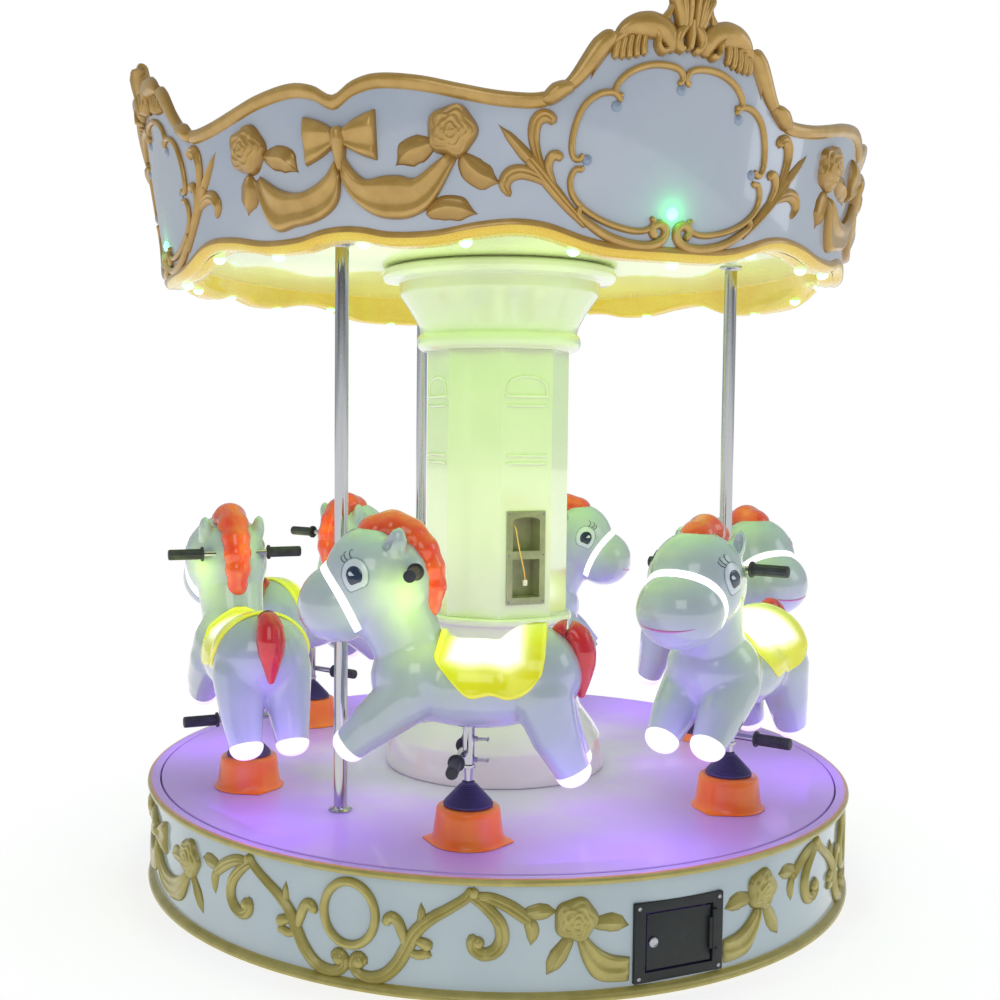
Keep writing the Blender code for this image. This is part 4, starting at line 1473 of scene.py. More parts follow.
@dataclass
class Column:
    """Plinth, eight-sided shaft with its blind arches, and coved capital."""

    foot: float = STANDING
    shaft_low: float = 0.7973
    shaft_high: float = 1.6197
    corner: float = 0.2255
    wall: float = 0.008
    top: float = HANGING
    opening_half: float = 0.0595
    opening_low: float = 0.850
    opening_high: float = 1.117

    def build(self) -> None:
        """Make the three pieces and the arches."""
        plinth = turned("plinth", Paint.COLUMN, rounded((
            (0.0, 0.797), (0.236, 0.797), (0.242, 0.791), (0.242, 0.775), (0.233, 0.770),
            (0.234, 0.700), (0.238, 0.640), (0.250, 0.560), (0.277, 0.490), (0.316, 0.440),
            (0.339, 0.405), (0.347, 0.360), (0.352, 0.325), (0.352, self.foot),
            (0.040, self.foot), (0.040, 0.342), (0.0, 0.342),
        ), 0.006), 128)
        show("column_foot", plinth, "turntable", ["column_plinth"])

        capital = turned("capital", Paint.COLUMN, rounded((
            (0.0, self.top), (0.349, self.top), (0.349, self.top - 0.005),
            (0.366, self.top - 0.006), (0.373, self.top - 0.014), (0.373, 1.850),
            (0.364, 1.838), (0.317, 1.834), (0.316, 1.796), (0.306, 1.782), (0.294, 1.766),
            (0.276, 1.738), (0.262, 1.714), (0.252, 1.694), (0.248, 1.674), (0.256, 1.668),
            (0.260, 1.656), (0.260, 1.642), (0.255, 1.630), (0.246, 1.624), (0.240, 1.6200),
            (0.0, 1.6200),
        ), 0.005), 128)
        show("column_head", capital, "turntable", ["column_capital"])
        self.shaft()

    def shaft(self) -> None:
        """Make the shaft with rounded corners, cut for the panel, and its blind arches."""
        heights = (self.shaft_low, self.shaft_high)
        loop = []
        for corner in range(8):
            angle = 22.5 + 45.0 * corner
            for swing in (-1.0, 0.0, 1.0):
                radius = self.corner * (0.9987 if swing == 0.0 else 0.9902)
                loop.append((radius, angle + 1.2 * swing))
        outer = np.array([[polar(radius, angle, z) for radius, angle in loop] for z in heights])
        shrink = (self.corner - self.wall) / self.corner
        inner = outer * (shrink, shrink, 1)
        sketch = Sketch(Paint.COLUMN)
        sketch.grid(np.concatenate([outer, inner[::-1], outer[:1]]), wrap=True)
        opening = box_mesh((-self.opening_half, -0.3, self.opening_low),
                           (self.opening_half, -0.15, self.opening_high), 0.0)
        shaft = shade(cut(sketch.mesh("shaft", closed=True, sharp=30.0), opening), 30.0)
        show("column_shaft_shell", shaft, "turntable", ["column_shaft"])
        arches = Sketch(Paint.COLUMN)
        for face in range(4):
            self.arch(arches, 90.0 * face)
        show("column_arches", arches.mesh("arches", closed=True), "turntable")

    def arch(self, sketch: Sketch, angle: float) -> None:
        """Add one face's arched window with its sill, and the string course below.

        Args:
            sketch: The mesh to add to.
            angle: Which way the face looks.
        """
        face = self.corner * math.cos(math.radians(22.5)) + 0.0005
        turn = Matrix.Rotation(math.radians(angle), 4, "Z")
        out = turn.to_3x3() @ Vector((0.0, -1.0, 0.0))
        half = [(-0.066, 1.480), (-0.067, 1.496), (-0.064, 1.510), (-0.052, 1.524), (-0.030, 1.533)]
        frame = [*half, (0.0, 1.537), *((-x, z) for x, z in reversed(half))]
        runs = [(even_route(frame, 0.006), 0.0030)]
        for reach, z, size in (
            (0.072, 1.477, 0.0035), (0.066, 1.448, 0.0030), (0.066, 1.296, 0.0030),
            (0.066, 1.272, 0.0030),
        ):
            runs.append((np.array([(-reach, z), (reach, z)]), size))
        for run, size in runs:
            path = np.array([turn @ Vector((x, -face, z)) for x, z in run])
            sketch.tube(path, size, sides=10, wide=1.6, up=tuple(out))


@dataclass
class Panel:
    """Control panel: a pressed steel frame round two trays in painted shade, screws and lead."""

    half: float = 0.0655
    low: float = 0.840
    high: float = 1.127
    face: float = 0.2083
    flange: float = 0.0055
    back: float = 0.1463
    window: float = 0.046
    lower: Point = (0.861, 0.979)
    upper: Point = (1.004, 1.096)
    arch: float = 0.0125
    lead_diameter: float = 0.004
    lead_points: int = 30
    lead_route: tuple[tuple[float, float, float], ...] = (
        (-0.0370, -0.1707, 1.0880),
        (-0.0370, -0.1800, 1.0879),
        (-0.0370, -0.1900, 1.0868),
        (-0.0370, -0.2000, 1.0838),
        (-0.0369, -0.2090, 1.0780),
        (-0.0364, -0.2155, 1.0695),
        (-0.0354, -0.2188, 1.0590),
        (-0.0334, -0.2200, 1.0450),
        (-0.0304, -0.2204, 1.0280),
        (-0.0262, -0.2206, 1.0080),
        (-0.0212, -0.2206, 0.9880),
        (-0.0160, -0.2205, 0.9680),
        (-0.0112, -0.2203, 0.9480),
        (-0.0078, -0.2201, 0.9300),
        (-0.0066, -0.2200, 0.9170),
    )

    def lead(self) -> None:
        """Make the loose lead and the connector on its end."""
        curve = bpy.data.curves.new("loose_lead", "CURVE")
        curve.dimensions = "3D"
        curve.bevel_depth = self.lead_diameter / 2
        curve.bevel_resolution = 4
        curve.use_fill_caps = True
        curve.materials.append(PALETTE[Paint.LEAD])
        points = smooth_route(self.lead_route, self.lead_points)
        spline = curve.splines.new("POLY")
        spline.points.add(len(points) - 1)
        for knot, point in zip(spline.points, points):
            knot.co = (*point, 1.0)
        lead = link("loose_lead", curve)
        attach(lead, "turntable")
        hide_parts("panel_lead")
        end = points[-1]
        shell = box_mesh(
            (end[0] - 0.0065, end[1] - 0.004, end[2] - 0.0183),
            (end[0] + 0.0065, end[1] + 0.004, end[2] - 0.0003), 0.0008,
        )
        parts = [(shell, Paint.NYLON)]
        for step in range(3):
            x = end[0] - 0.0036 + 0.0036 * step
            parts.append((box_mesh(
                (x - 0.0010, end[1] - 0.0044, end[2] - 0.0175), (x + 0.0010, end[1], end[2] - 0.004),
                0.0002,
            ), Paint.NYLON))
        connector = show("lead_plug", joined("lead_plug", parts), "turntable",
                         ["lead_connector"])
        tuple(self.lead_route[0])

    def build(self, copier: Copier) -> None:
        """Make the panel.

        Args:
            copier: Sets the screws.
        """
        plate = box_mesh(
            (-self.half, -self.face - self.flange, self.low),
            (self.half, -self.face - 0.0003, self.high), 0.0012,
        )
        tray = box_mesh((-0.0592, -self.face - 0.001, self.low + 0.0103),
                        (0.0592, -self.back, self.high - 0.0103), 0.0)
        cutters = [
            box_mesh((-self.window, -0.3, low), (self.window, -self.back - 0.006, high), 0.0)
            for low, high in (self.lower, self.upper)
        ]
        back = -self.back - 0.006
        arch = turned("arch", Paint.PLATE,
                      ((0.0, -0.3), (self.window, -0.3), (self.window, back), (0.0, back)), 48)
        arch.transform(
            Matrix.Translation((0.0, 0.0, self.upper[1] - 0.0002))
            @ Matrix.Diagonal((1.0, 1.0, self.arch / self.window, 1.0))
            @ Matrix(((1, 0, 0, 0), (0, 0, 1, 0), (0, 1, 0, 0), (0, 0, 0, 1)))
        )
        # The last matrix swaps two axes, which turns the faces inside out
        arch.flip_normals()
        cutters.append(arch)
        made = []
        # The trays are near black: painted shade in the recess behind the windows
        for body, paint in ((plate, Paint.PLATE), (tray, Paint.SHADOW)):
            for shape in cutters:
                body = cut(body, shape)
            made.append((body, paint))
        start = self.lead_route[0]
        gland = Sketch(Paint.RUBBER)
        gland.tube(np.array([(start[0], -self.back - 0.004, start[2]), start]),
                   (0.0055, 0.0032), sides=20)
        made.append((gland.mesh("gland", closed=True), Paint.RUBBER))
        show("panel_front", joined("panel_front", made, 30.0), "turntable",
             ["control_panel"])
        front = -self.face - self.flange
        spots = [(x, front, z) for z in (0.8485, 0.9915) for x in (-0.0585, 0.0585)]
        spots += [(x, front, 1.1185) for x in (-0.0585, 0.0585)]
        screws = copier.copies(
            "panel_screws", screw_head(0.0038, 0.0016), [(spot, (0.0, -1.0, 0.0)) for spot in spots],
            Paint.ZINC,
        )
        show("panel_screws", screws, "turntable")


def screw_head(radius: float, height: float) -> Mesh:
    """A domed screw head with a hollow hexagon, standing on z = 0.

    Args:
        radius: Radius of the head.
        height: Height of the head.

    Returns:
        The new mesh.
    """
    return turned("screw", Paint.ZINC, rounded((
        (0.0, height * 0.45), (radius * 0.45, height * 0.45), (radius * 0.5, height),
        (radius * 0.75, height * 0.92), (radius, height * 0.35), (radius, -0.0004), (0.0, -0.0004),
    ), radius * 0.12, 2), 24)


@dataclass
class Door:
    """Service door: frame with its bolts, leaf with a rolled edge, and cam lock."""

    half: float = 0.1275
    low: float = 0.029
    high: float = 0.228
    front: float = 1.0785
    back: float = 1.045
    bar: float = 0.0295
    leaf_front: float = 1.0765
    hinge: Point = (0.097, -1.083)
    knuckle: float = 0.004
    strap: float = 0.0397
    lock_x: float = -0.076

    def pin(self, low: float, high: float) -> tuple[Mesh, Paint]:
        """One round knuckle of the hinge and its finish.

        Args:
            low: Height of its lower end.
            high: Height of its upper end.

        Returns:
            The mesh and its finish.
        """
        profile = ((0.0, low), (self.knuckle, low), (self.knuckle, high), (0.0, high))
        place = Matrix.Translation((*self.hinge, 0.0))
        return turned("knuckle", Paint.POWDER, profile, 20, place), Paint.POWDER

    def build(self, copier: Copier) -> None:
        """Make frame, leaf and lock.

        Args:
            copier: Sets the bolts.
        """
        inner = self.half - self.bar
        low, high = self.low + self.bar - 0.005, self.high - self.bar + 0.005
        middle = (low + high) / 2
        frame = box_mesh((-self.half, -self.front, self.low), (self.half, -self.back, self.high),
                         0.0015)
        frame = cut(frame, box_mesh((-inner, -1.2, low), (inner, -1.0, high), 0.0))
        parts = [(frame, Paint.POWDER)]
        x, y = self.hinge
        for start, end in ((middle - 0.060, middle - 0.040), (middle + 0.040, middle + 0.060)):
            lug = box_mesh((x + 0.0015, y - 0.004, start), (x + 0.010, -self.front + 0.002, end),
                           0.0008)
            parts += [(lug, Paint.POWDER), self.pin(start, end)]
        show("door_surround", joined("door_surround", parts), "base", ["door_frame"])

        start, end = middle - self.strap, middle + self.strap
        sheet = box_mesh((-inner + 0.005, -self.leaf_front, low + 0.005),
                         (x - 0.0055, -self.leaf_front + 0.003, high - 0.005), 0.0010)
        strap = box_mesh((x - 0.012, y - 0.001, start), (x, -self.leaf_front + 0.001, end), 0.0004)
        leaf = [(sheet, Paint.POWDER), (strap, Paint.POWDER), self.pin(start, end)]
        show("door_panel", joined("door_panel", leaf), "access_door", ["door_leaf"])

        face = -self.leaf_front
        facing = Matrix.Translation((self.lock_x, face - 0.0003, middle)) @ Matrix.Rotation(
            math.radians(90.0), 4, "X",
        )
        lock = turned("lock", Paint.ZINC, rounded((
            (0.0, 0.0045), (0.0085, 0.0045), (0.0100, 0.0060), (0.0122, 0.0052), (0.0130, 0.0030),
            (0.0130, 0.0), (0.0, 0.0),
        ), 0.0008, 3), 40, facing)
        # The slit is near black: painted shade in the lock's key slot
        slit = box_mesh((self.lock_x - 0.0008, face - 0.0052, middle - 0.005),
                        (self.lock_x + 0.0008, face - 0.0046, middle + 0.005), 0.0)
        parts = [(lock, Paint.ZINC), (slit, Paint.SHADOW)]
        show("door_cam_lock", joined("door_cam_lock", parts), "access_door", ["door_lock"])
        inset = 0.012
        spots = [(side * (self.half - inset), -self.front, z)
                 for z in (self.low + inset, self.high - inset) for side in (-1.0, 1.0)]
        bolts = copier.copies(
            "door_bolts", screw_head(0.0055, 0.0030), [(spot, (0.0, -1.0, 0.0)) for spot in spots],
            Paint.ZINC,
        )
        show("door_bolts", bolts, "base")


@dataclass
class Canopy:
    """Crown, ceiling and lamps."""

    turn: float = -2.0
    foot: float = 1.800
    foot_radius: float = 1.028
    flare: float = 0.150
    wall: float = 0.012
    ceiling: float = 1.880
    ceiling_thickness: float = 0.018
    swag_turn: float = 45.6
    steps: int = 120
    top_outline: tuple[Point, ...] = (
        (0.0, 2.393), (2.4, 2.389), (3.0, 2.350), (3.8, 2.332), (5.2, 2.328), (7.2, 2.318),
        (9.9, 2.285),
        (12.7, 2.228), (14.5, 2.192), (16.5, 2.163), (18.5, 2.150), (21.0, 2.149), (24.5, 2.156),
        (28.5, 2.171), (33.5, 2.192), (39.0, 2.203), (42.2, 2.191), (45.0, 2.164),
    )
    foot_outline: tuple[Point, ...] = (
        (0.0, 1.784), (8.0, 1.787), (12.0, 1.800), (17.0, 1.828), (21.0, 1.837), (26.0, 1.830),
        (32.0, 1.812), (38.0, 1.812), (42.0, 1.826), (45.0, 1.830),
    )

    def surface(self) -> Wall:
        """The crown's outer face."""
        return Wall(self.foot, self.foot_radius, self.flare)

    def sweep(self, number: int, loop: Sequence[Sequence[float]]) -> np.ndarray:
        """Points of one quarter of a section carried along the crown.

        Args:
            number: Which quarter, from the front.
            loop: (offset, share of the foot height, share of the top height, rise) of each point.

        Returns:
            Array of loop points by angles by 3.
        """
        wall = self.surface()
        angles = np.linspace(-45.0, 45.0, self.steps + 1)
        grid = np.empty((len(loop), len(angles), 3))
        for column, angle in enumerate(angles):
            low = outline_height(self.foot_outline, angle)
            high = outline_height(self.top_outline, angle)
            for row, (offset, low_share, high_share, rise) in enumerate(loop):
                z = low_share * low + high_share * high + rise
                grid[row, column] = polar(
                    float(wall.radius(z)) + offset, angle + self.turn + 90.0 * number, z,
                )
        return grid

    def build(self, copier: Copier) -> None:
        """Make the canopy.

        Args:
            copier: Sets the lamps.
        """
        shell = [(0.0, 1 - share, share, 0.016 - 0.032 * share) for share in np.linspace(0, 1, 9)]
        shell += [(-self.wall, 1 - share, share, 0.016 - 0.032 * share)
                  for share in np.linspace(1, 0, 9)]
        shell.append(shell[0])
        top_bead = self.bead(0.0, 1.0, -0.017, -0.002, 0.0150, 0.0180)
        foot_bead = self.bead(1.0, 0.0, 0.017, -0.008, 0.0175, 0.0180)
        for number, side in enumerate(SIDES):
            sketch = Sketch(Paint.CROWN)
            grid = self.sweep(number, shell)
            sketch.grid(grid, 0)
            self.close_ends(sketch, grid)
            mesh = sketch.mesh(f"crown_shell_{side}", closed=True)
            show(f"crown_shell_{side}", mesh, "turntable", [f"crown_{side}"])
            beads = Sketch(Paint.GOLD, Paint.RIM)
            upper = self.sweep(number, top_bead)
            beads.grid(upper, 0, self.middle_line(upper))
            lower = self.sweep(number, foot_bead)
            beads.grid(lower[:7], 0, self.middle_line(lower)[:7])
            beads.grid(lower[6:], 1, self.middle_line(lower)[6:])
            self.add_cove(beads, number)
            show(f"crown_beads_{side}", beads.mesh(f"crown_beads_{side}"), "turntable")
            self.carve(number, side)
        self.build_ceiling()
        self.lamps(copier)

    @staticmethod
    def bead(
        low: float, high: float, rise: float, offset: float, depth: float, height: float,
    ) -> list[tuple[float, float, float, float]]:
        """Oval loop of a rolled bead, for `sweep`.

        Args:
            low: Share of the foot height.
            high: Share of the top height.
            rise: Height of its middle above that.
            offset: Distance of its middle out from the wall.
            depth: Half its thickness across the wall.
            height: Half its height.

        Returns:
            The loop, from its top over the outside to the underside and round.
        """
        turns = np.linspace(0, math.tau, 25)
        return [
            (offset + depth * math.sin(turn), low, high, rise + height * math.cos(turn))
            for turn in turns
        ]

    @staticmethod
    def middle_line(grid: np.ndarray) -> np.ndarray:
        """The middle of each section, repeated for every point of its loop."""
        return np.broadcast_to(grid[:-1].mean(axis=0, keepdims=True), grid.shape)

    @staticmethod
    def close_ends(sketch: Sketch, grid: np.ndarray) -> None:
        """Close both ends of a swept loop.

        Args:
            sketch: The mesh to add to.
            grid: The swept loop, whose last row repeats its first.
        """
        half = (len(grid) - 1) // 2
        for end in (0, -1):
            outer = grid[:half, end]
            inner = grid[half:-1, end][::-1]
            sketch.grid(np.stack([outer, inner], axis=0), 0)

    def add_cove(self, sketch: Sketch, number: int) -> None:
        """Add the hollow that runs from the foot bead in to the ceiling.

        Args:
            sketch: The mesh to add to.
            number: Which quarter, from the front.
        """
        angles = np.linspace(-45.0, 45.0, self.steps + 1)
        # Radius, rise, and share of the way up to the ceiling
        section = (
            (1.014, 0.001, 0.0), (0.992, -0.002, 0.0), (0.976, 0.001, 0.0), (0.968, 0.010, 0.0),
            (0.966, 0.010, 0.2), (0.962, 0.004, 0.6), (0.956, 0.001, 0.95), (0.950, 0.001, 1.0),
        )
        grid = np.empty((len(section), len(angles), 3))
        for column, angle in enumerate(angles):
            low = outline_height(self.foot_outline, angle)
            for row, (radius, rise, share) in enumerate(section):
                z = low + rise + (self.ceiling - low) * share
                grid[row, column] = polar(radius, angle + self.turn + 90.0 * number, z)
        middle = grid + polar(0.1, self.turn + 90.0 * number, 0.2)
        sketch.grid(grid, 1, middle)

    def build_ceiling(self) -> None:
        """Make the flat ceiling disc, its edges rounded a little."""
        low, high = self.ceiling, self.ceiling + self.ceiling_thickness
        edge = self.foot_radius + self.flare * (low - self.foot) - self.wall - 0.0005
        profile = rounded(((0.0, high), (edge, high), (edge, low), (0.0, low)), 0.002)
        disc = turned("ceiling_disc", Paint.CEILING, profile, 192)
        show("ceiling_disc", disc, "turntable", ["ceiling_panel"])

    def carve(self, number: int, side: str) -> None:
        """Carve one medallion with its sprays and plume, and the swag to the right of it.

        Args:
            number: Which quarter, from the front.
            side: Its name.
        """
        centre = self.turn + 90.0 * number
        medallion = Carving(self.surface(), centre, Paint.GOLD)
        self.medallion_frame(medallion)
        self.sprays(medallion)
        self.plume(medallion)
        show(f"crown_medallion_{side}", medallion.mesh("medallion"), "turntable")
        swag = Carving(self.surface(), centre + self.swag_turn, Paint.GOLD)
        self.swag(swag)
        show(f"crown_swag_{side}", swag.mesh("swag"), "turntable")

    @staticmethod
    def medallion_frame(relief: Carving) -> None:
        """Six C-shaped arcs with curled ends, and the scrolls under them.

        Args:
            relief: The relief to add to.
        """
        arcs = (
            ((0.020, 2.188), (0.010, 2.189), (0.005, 2.202), (0.016, 2.218), (0.050, 2.225),
             (0.095, 2.221), (0.138, 2.203), (0.163, 2.180), (0.171, 2.160), (0.161, 2.149),
             (0.150, 2.156)),
            ((0.155, 2.134), (0.162, 2.148), (0.178, 2.156), (0.210, 2.150), (0.242, 2.124),
             (0.262, 2.078), (0.268, 2.030), (0.260, 2.006), (0.245, 2.006), (0.242, 2.019)),
            ((0.238, 1.992), (0.243, 1.982), (0.257, 1.982), (0.268, 1.958), (0.262, 1.926),
             (0.238, 1.898), (0.202, 1.876), (0.160, 1.860), (0.112, 1.850), (0.076, 1.850),
             (0.054, 1.860), (0.050, 1.876), (0.062, 1.880)),
        )
        for arc in arcs:
            relief.stroke(arc, (0.0075, 0.0085, 0.0085, 0.0085, 0.0075), 0.0125)
        relief.stroke(
            ((0.232, 1.900), (0.244, 1.892), (0.240, 1.876), (0.214, 1.858), (0.180, 1.838),
             (0.140, 1.824), (0.092, 1.816), (0.050, 1.818), (0.022, 1.832), (0.016, 1.856),
             (0.034, 1.868), (0.052, 1.858), (0.048, 1.842), (0.036, 1.842)),
            (0.008, 0.011, 0.012, 0.012, 0.012, 0.012, 0.011), 0.016,
        )

    @staticmethod
    def sprays(relief: Carving) -> None:
        """A spray of leaves and hooks on each side of the medallion.

        Args:
            relief: The relief to add to.
        """
        relief.stroke(
            ((0.222, 1.852), (0.244, 1.872), (0.276, 1.902), (0.310, 1.938), (0.342, 1.974),
             (0.372, 2.006)),
            (0.008, 0.012, 0.015, 0.016, 0.015), 0.016, Section.FLUTE,
        )
        relief.stroke(((0.350, 1.984), (0.384, 2.020), (0.414, 2.052), (0.442, 2.080)),
                      (0.013, 0.016, 0.012, 0.005), 0.014, Section.LEAF, pointed=True)
        relief.stroke(
            ((0.318, 1.946), (0.338, 1.980), (0.350, 2.014), (0.358, 2.052), (0.354, 2.084),
             (0.338, 2.098), (0.320, 2.092), (0.318, 2.078)),
            (0.010, 0.012, 0.012, 0.015, 0.017, 0.016), 0.016, Section.FLUTE,
        )
        relief.stroke(
            ((0.298, 1.926), (0.312, 1.956), (0.322, 1.984), (0.316, 2.008), (0.300, 2.012),
             (0.294, 1.998)),
            (0.007, 0.009, 0.011, 0.013, 0.012), 0.014,
        )
        relief.stroke(
            ((0.320, 1.948), (0.350, 1.964), (0.386, 1.974), (0.414, 1.966), (0.424, 1.944),
             (0.410, 1.918)),
            (0.010, 0.014, 0.017, 0.019, 0.016, 0.006), 0.015, Section.FLUTE,
        )

    @staticmethod
    def plume(relief: Carving) -> None:
        """Fronds on the medallion's shoulders, volutes, the plume and the valley knobs.

        Args:
            relief: The relief to add to.
        """
        relief.stroke(((0.158, 2.290), (0.190, 2.258), (0.216, 2.220), (0.231, 2.180)),
                      (0.014, 0.013, 0.010, 0.004), 0.016, Section.LEAF, pointed=True)
        flutes = (
            ((0.108, 2.290), (0.112, 2.262), (0.108, 2.238)),
            ((0.124, 2.290), (0.129, 2.260), (0.126, 2.232)),
            ((0.140, 2.286), (0.146, 2.256), (0.144, 2.228)),
            ((0.156, 2.280), (0.162, 2.250), (0.161, 2.226)),
            ((0.170, 2.272), (0.177, 2.246), (0.177, 2.226)),
        )
        for flute in flutes:
            relief.stroke(flute, (0.008, 0.0095, 0.0090), 0.016)
        relief.stroke(
            ((0.178, 2.278), (0.146, 2.300), (0.110, 2.308), (0.078, 2.304), (0.056, 2.290),
             (0.050, 2.268), (0.058, 2.252)),
            (0.010, 0.020, 0.028, 0.031, 0.029, 0.026, 0.020), 0.026,
        )
        relief.stroke(
            ((0.098, 2.302), (0.082, 2.284), (0.080, 2.264), (0.068, 2.250), (0.054, 2.258)),
            (0.005, 0.007, 0.008, 0.009), 0.030,
        )
        relief.stroke(
            ((0.006, 2.316), (0.024, 2.300), (0.032, 2.278), (0.022, 2.262), (0.010, 2.268)),
            (0.010, 0.014, 0.014, 0.011), 0.026,
        )
        relief.stroke(((0.0, 2.256), (0.0, 2.300), (0.0, 2.330)), (0.009, 0.011, 0.008), 0.030,
                      both=False)
        relief.stroke(
            ((0.296, 2.156), (0.268, 2.178), (0.240, 2.214), (0.212, 2.254), (0.180, 2.286)),
            (0.013, 0.018, 0.022, 0.024, 0.020), 0.022,
        )
        for foot, head, size in (
            (0.008, 0.011, 0.0105), (0.018, 0.031, 0.0120), (0.026, 0.050, 0.0125),
        ):
            top = 2.386 - 0.2 * (head - 0.011)
            relief.stroke(
                ((foot, 2.304), (0.6 * foot + 0.4 * head, 2.346), (head, top)),
                (0.8 * size, size, size), 0.028,
            )
        relief.stroke(
            ((0.268, 2.156), (0.286, 2.160), (0.306, 2.153), (0.326, 2.138), (0.346, 2.130)),
            (0.012, 0.019, 0.022, 0.019, 0.010), 0.028,
        )

    @staticmethod
    def swag(relief: Carving) -> None:
        """Bow, two roses with leaves, and the cloth that hangs between them.

        Args:
            relief: The relief to add to.
        """
        relief.cloth(
            ((0.008, 2.030), (0.034, 1.992), (0.066, 1.968), (0.112, 1.974), (0.151, 1.973),
             (0.190, 1.966), (0.236, 1.996), (0.274, 2.020)),
            ((-0.002, 2.000), (0.006, 1.958), (0.035, 1.916), (0.081, 1.883), (0.136, 1.871),
             (0.190, 1.878), (0.238, 1.912), (0.296, 2.010)),
            0.024, 1.3, 0.25, both=False,
        )
        relief.cloth(
            ((-0.010, 2.024), (-0.024, 2.006), (-0.044, 1.983), (-0.078, 1.963), (-0.124, 1.951),
             (-0.183, 1.963), (-0.250, 2.002)),
            ((0.000, 1.980), (-0.010, 1.926), (-0.036, 1.896), (-0.080, 1.877), (-0.140, 1.869),
             (-0.218, 1.869), (-0.268, 1.992)),
            0.024, 1.4, 0.25, both=False,
        )
        leaves = (
            (((0.214, 1.880), (0.248, 1.892), (0.284, 1.894), (0.342, 1.879)), 0.030),
            (((0.240, 2.040), (0.212, 2.032), (0.180, 2.022), (0.142, 1.994)), 0.034),
            (((0.300, 2.014), (0.326, 1.982), (0.352, 1.964), (0.396, 1.948)), 0.032),
            (((-0.230, 2.044), (-0.196, 2.038), (-0.160, 2.030), (-0.122, 1.996)), 0.032),
            (((-0.284, 2.010), (-0.290, 1.976), (-0.294, 1.950), (-0.306, 1.910)), 0.034),
        )
        for route, half in leaves:
            relief.stroke(route, (0.5 * half, half, half, 0.3 * half), 0.019, Section.LEAF,
                          pointed=True, both=False)
        relief.cloth(
            ((0.010, 2.086), (0.050, 2.110), (0.098, 2.126)),
            ((0.010, 2.048), (0.050, 2.024), (0.098, 2.006)),
            0.026, 1.4,
        )
        relief.stroke(((0.0, 2.094), (0.0, 2.060), (0.0, 2.026), (0.002, 1.986)),
                      (0.019, 0.021, 0.015, 0.010), 0.032, both=False)
        for side in (-1.0, 1.0):
            relief.rose(side * 0.280, 2.066, 0.064, 0.042, 30.0 * side)

    @staticmethod
    def dome(paint: Paint, radius: float, height: float, steps: int) -> Mesh:
        """A lamp's dome, whose rim reaches a little below z = 0.

        Args:
            paint: Its finish.
            radius: Its radius.
            height: Its height.
            steps: Number of rings.

        Returns:
            The new mesh.
        """
        sketch = Sketch(paint)
        turns = np.radians(np.linspace(-12, 90, steps))
        sketch.revolve([(radius * math.cos(turn), height * math.sin(turn)) for turn in turns], 32)
        return sketch.mesh("dome")

    def lamps(self, copier: Copier) -> None:
        """Lit domes under the rim, and the small domes inside each medallion.

        Args:
            copier: Sets the domes.
        """
        places = []
        for angle in np.arange(24) * 15.0:
            low = outline_height(self.foot_outline, angle - self.turn)
            places.append((polar(0.988, angle, low - 0.002), (0.0, 0.0, -1.0)))
        shape = self.dome(Paint.LAMP, 0.0165, 0.0135, 12)
        show("rim_lamps", copier.copies("rim_lamps", shape, places, Paint.LAMP), "turntable")
        wall = self.surface()
        lit, unlit = [], []
        for number in range(4):
            centre = self.turn + 90.0 * number
            for u, z in ((-0.006, 2.174), (0.166, 2.126), (-0.166, 2.126), (0.230, 2.004),
                         (-0.230, 2.004)):
                angle = centre + math.degrees(u / ARC_RADIUS)
                unlit.append((polar(wall.radius(z), angle, z), polar(1.0, angle, -0.15)))
            lit.append((polar(wall.radius(LIT_DOME), centre, LIT_DOME), polar(1.0, centre, -0.15)))
        shape = self.dome(Paint.UNLIT, 0.0140, 0.0070, 10)
        for name, spots, paint, size in (
            ("medallion_lamps_lit", lit, Paint.GREEN, 1.15),
            ("medallion_lamps", unlit, Paint.UNLIT, 0.9),
        ):
            show(name, copier.copies(name, shape, spots, paint, size), "turntable")


@dataclass
class Poles:
    """Three stainless poles with a flange at each end."""

    radius: float = 0.719
    tube: float = 0.019
    flange: float = 0.034
    low: float = STANDING
    high: float = HANGING

    def build(self) -> None:
        """Make the poles."""
        profile = rounded((
            (0.0, self.high), (self.flange, self.high), (self.flange, self.high - 0.004),
            (self.tube + 0.004, self.high - 0.007), (self.tube, self.high - 0.012),
            (self.tube, self.low + 0.012), (self.tube + 0.004, self.low + 0.007),
            (self.flange, self.low + 0.004), (self.flange, self.low), (0.0, self.low),
        ), 0.0012, 2)
        for side, angle in (("left", -62.0), ("right", 58.0), ("back", 178.0)):
            place = Matrix.Translation(polar(self.radius, angle, 0.0))
            pole = turned("pole", Paint.STEEL, profile, 48, place)
            show(f"pole_tube_{side}", pole, "turntable", [f"pole_{side}"])


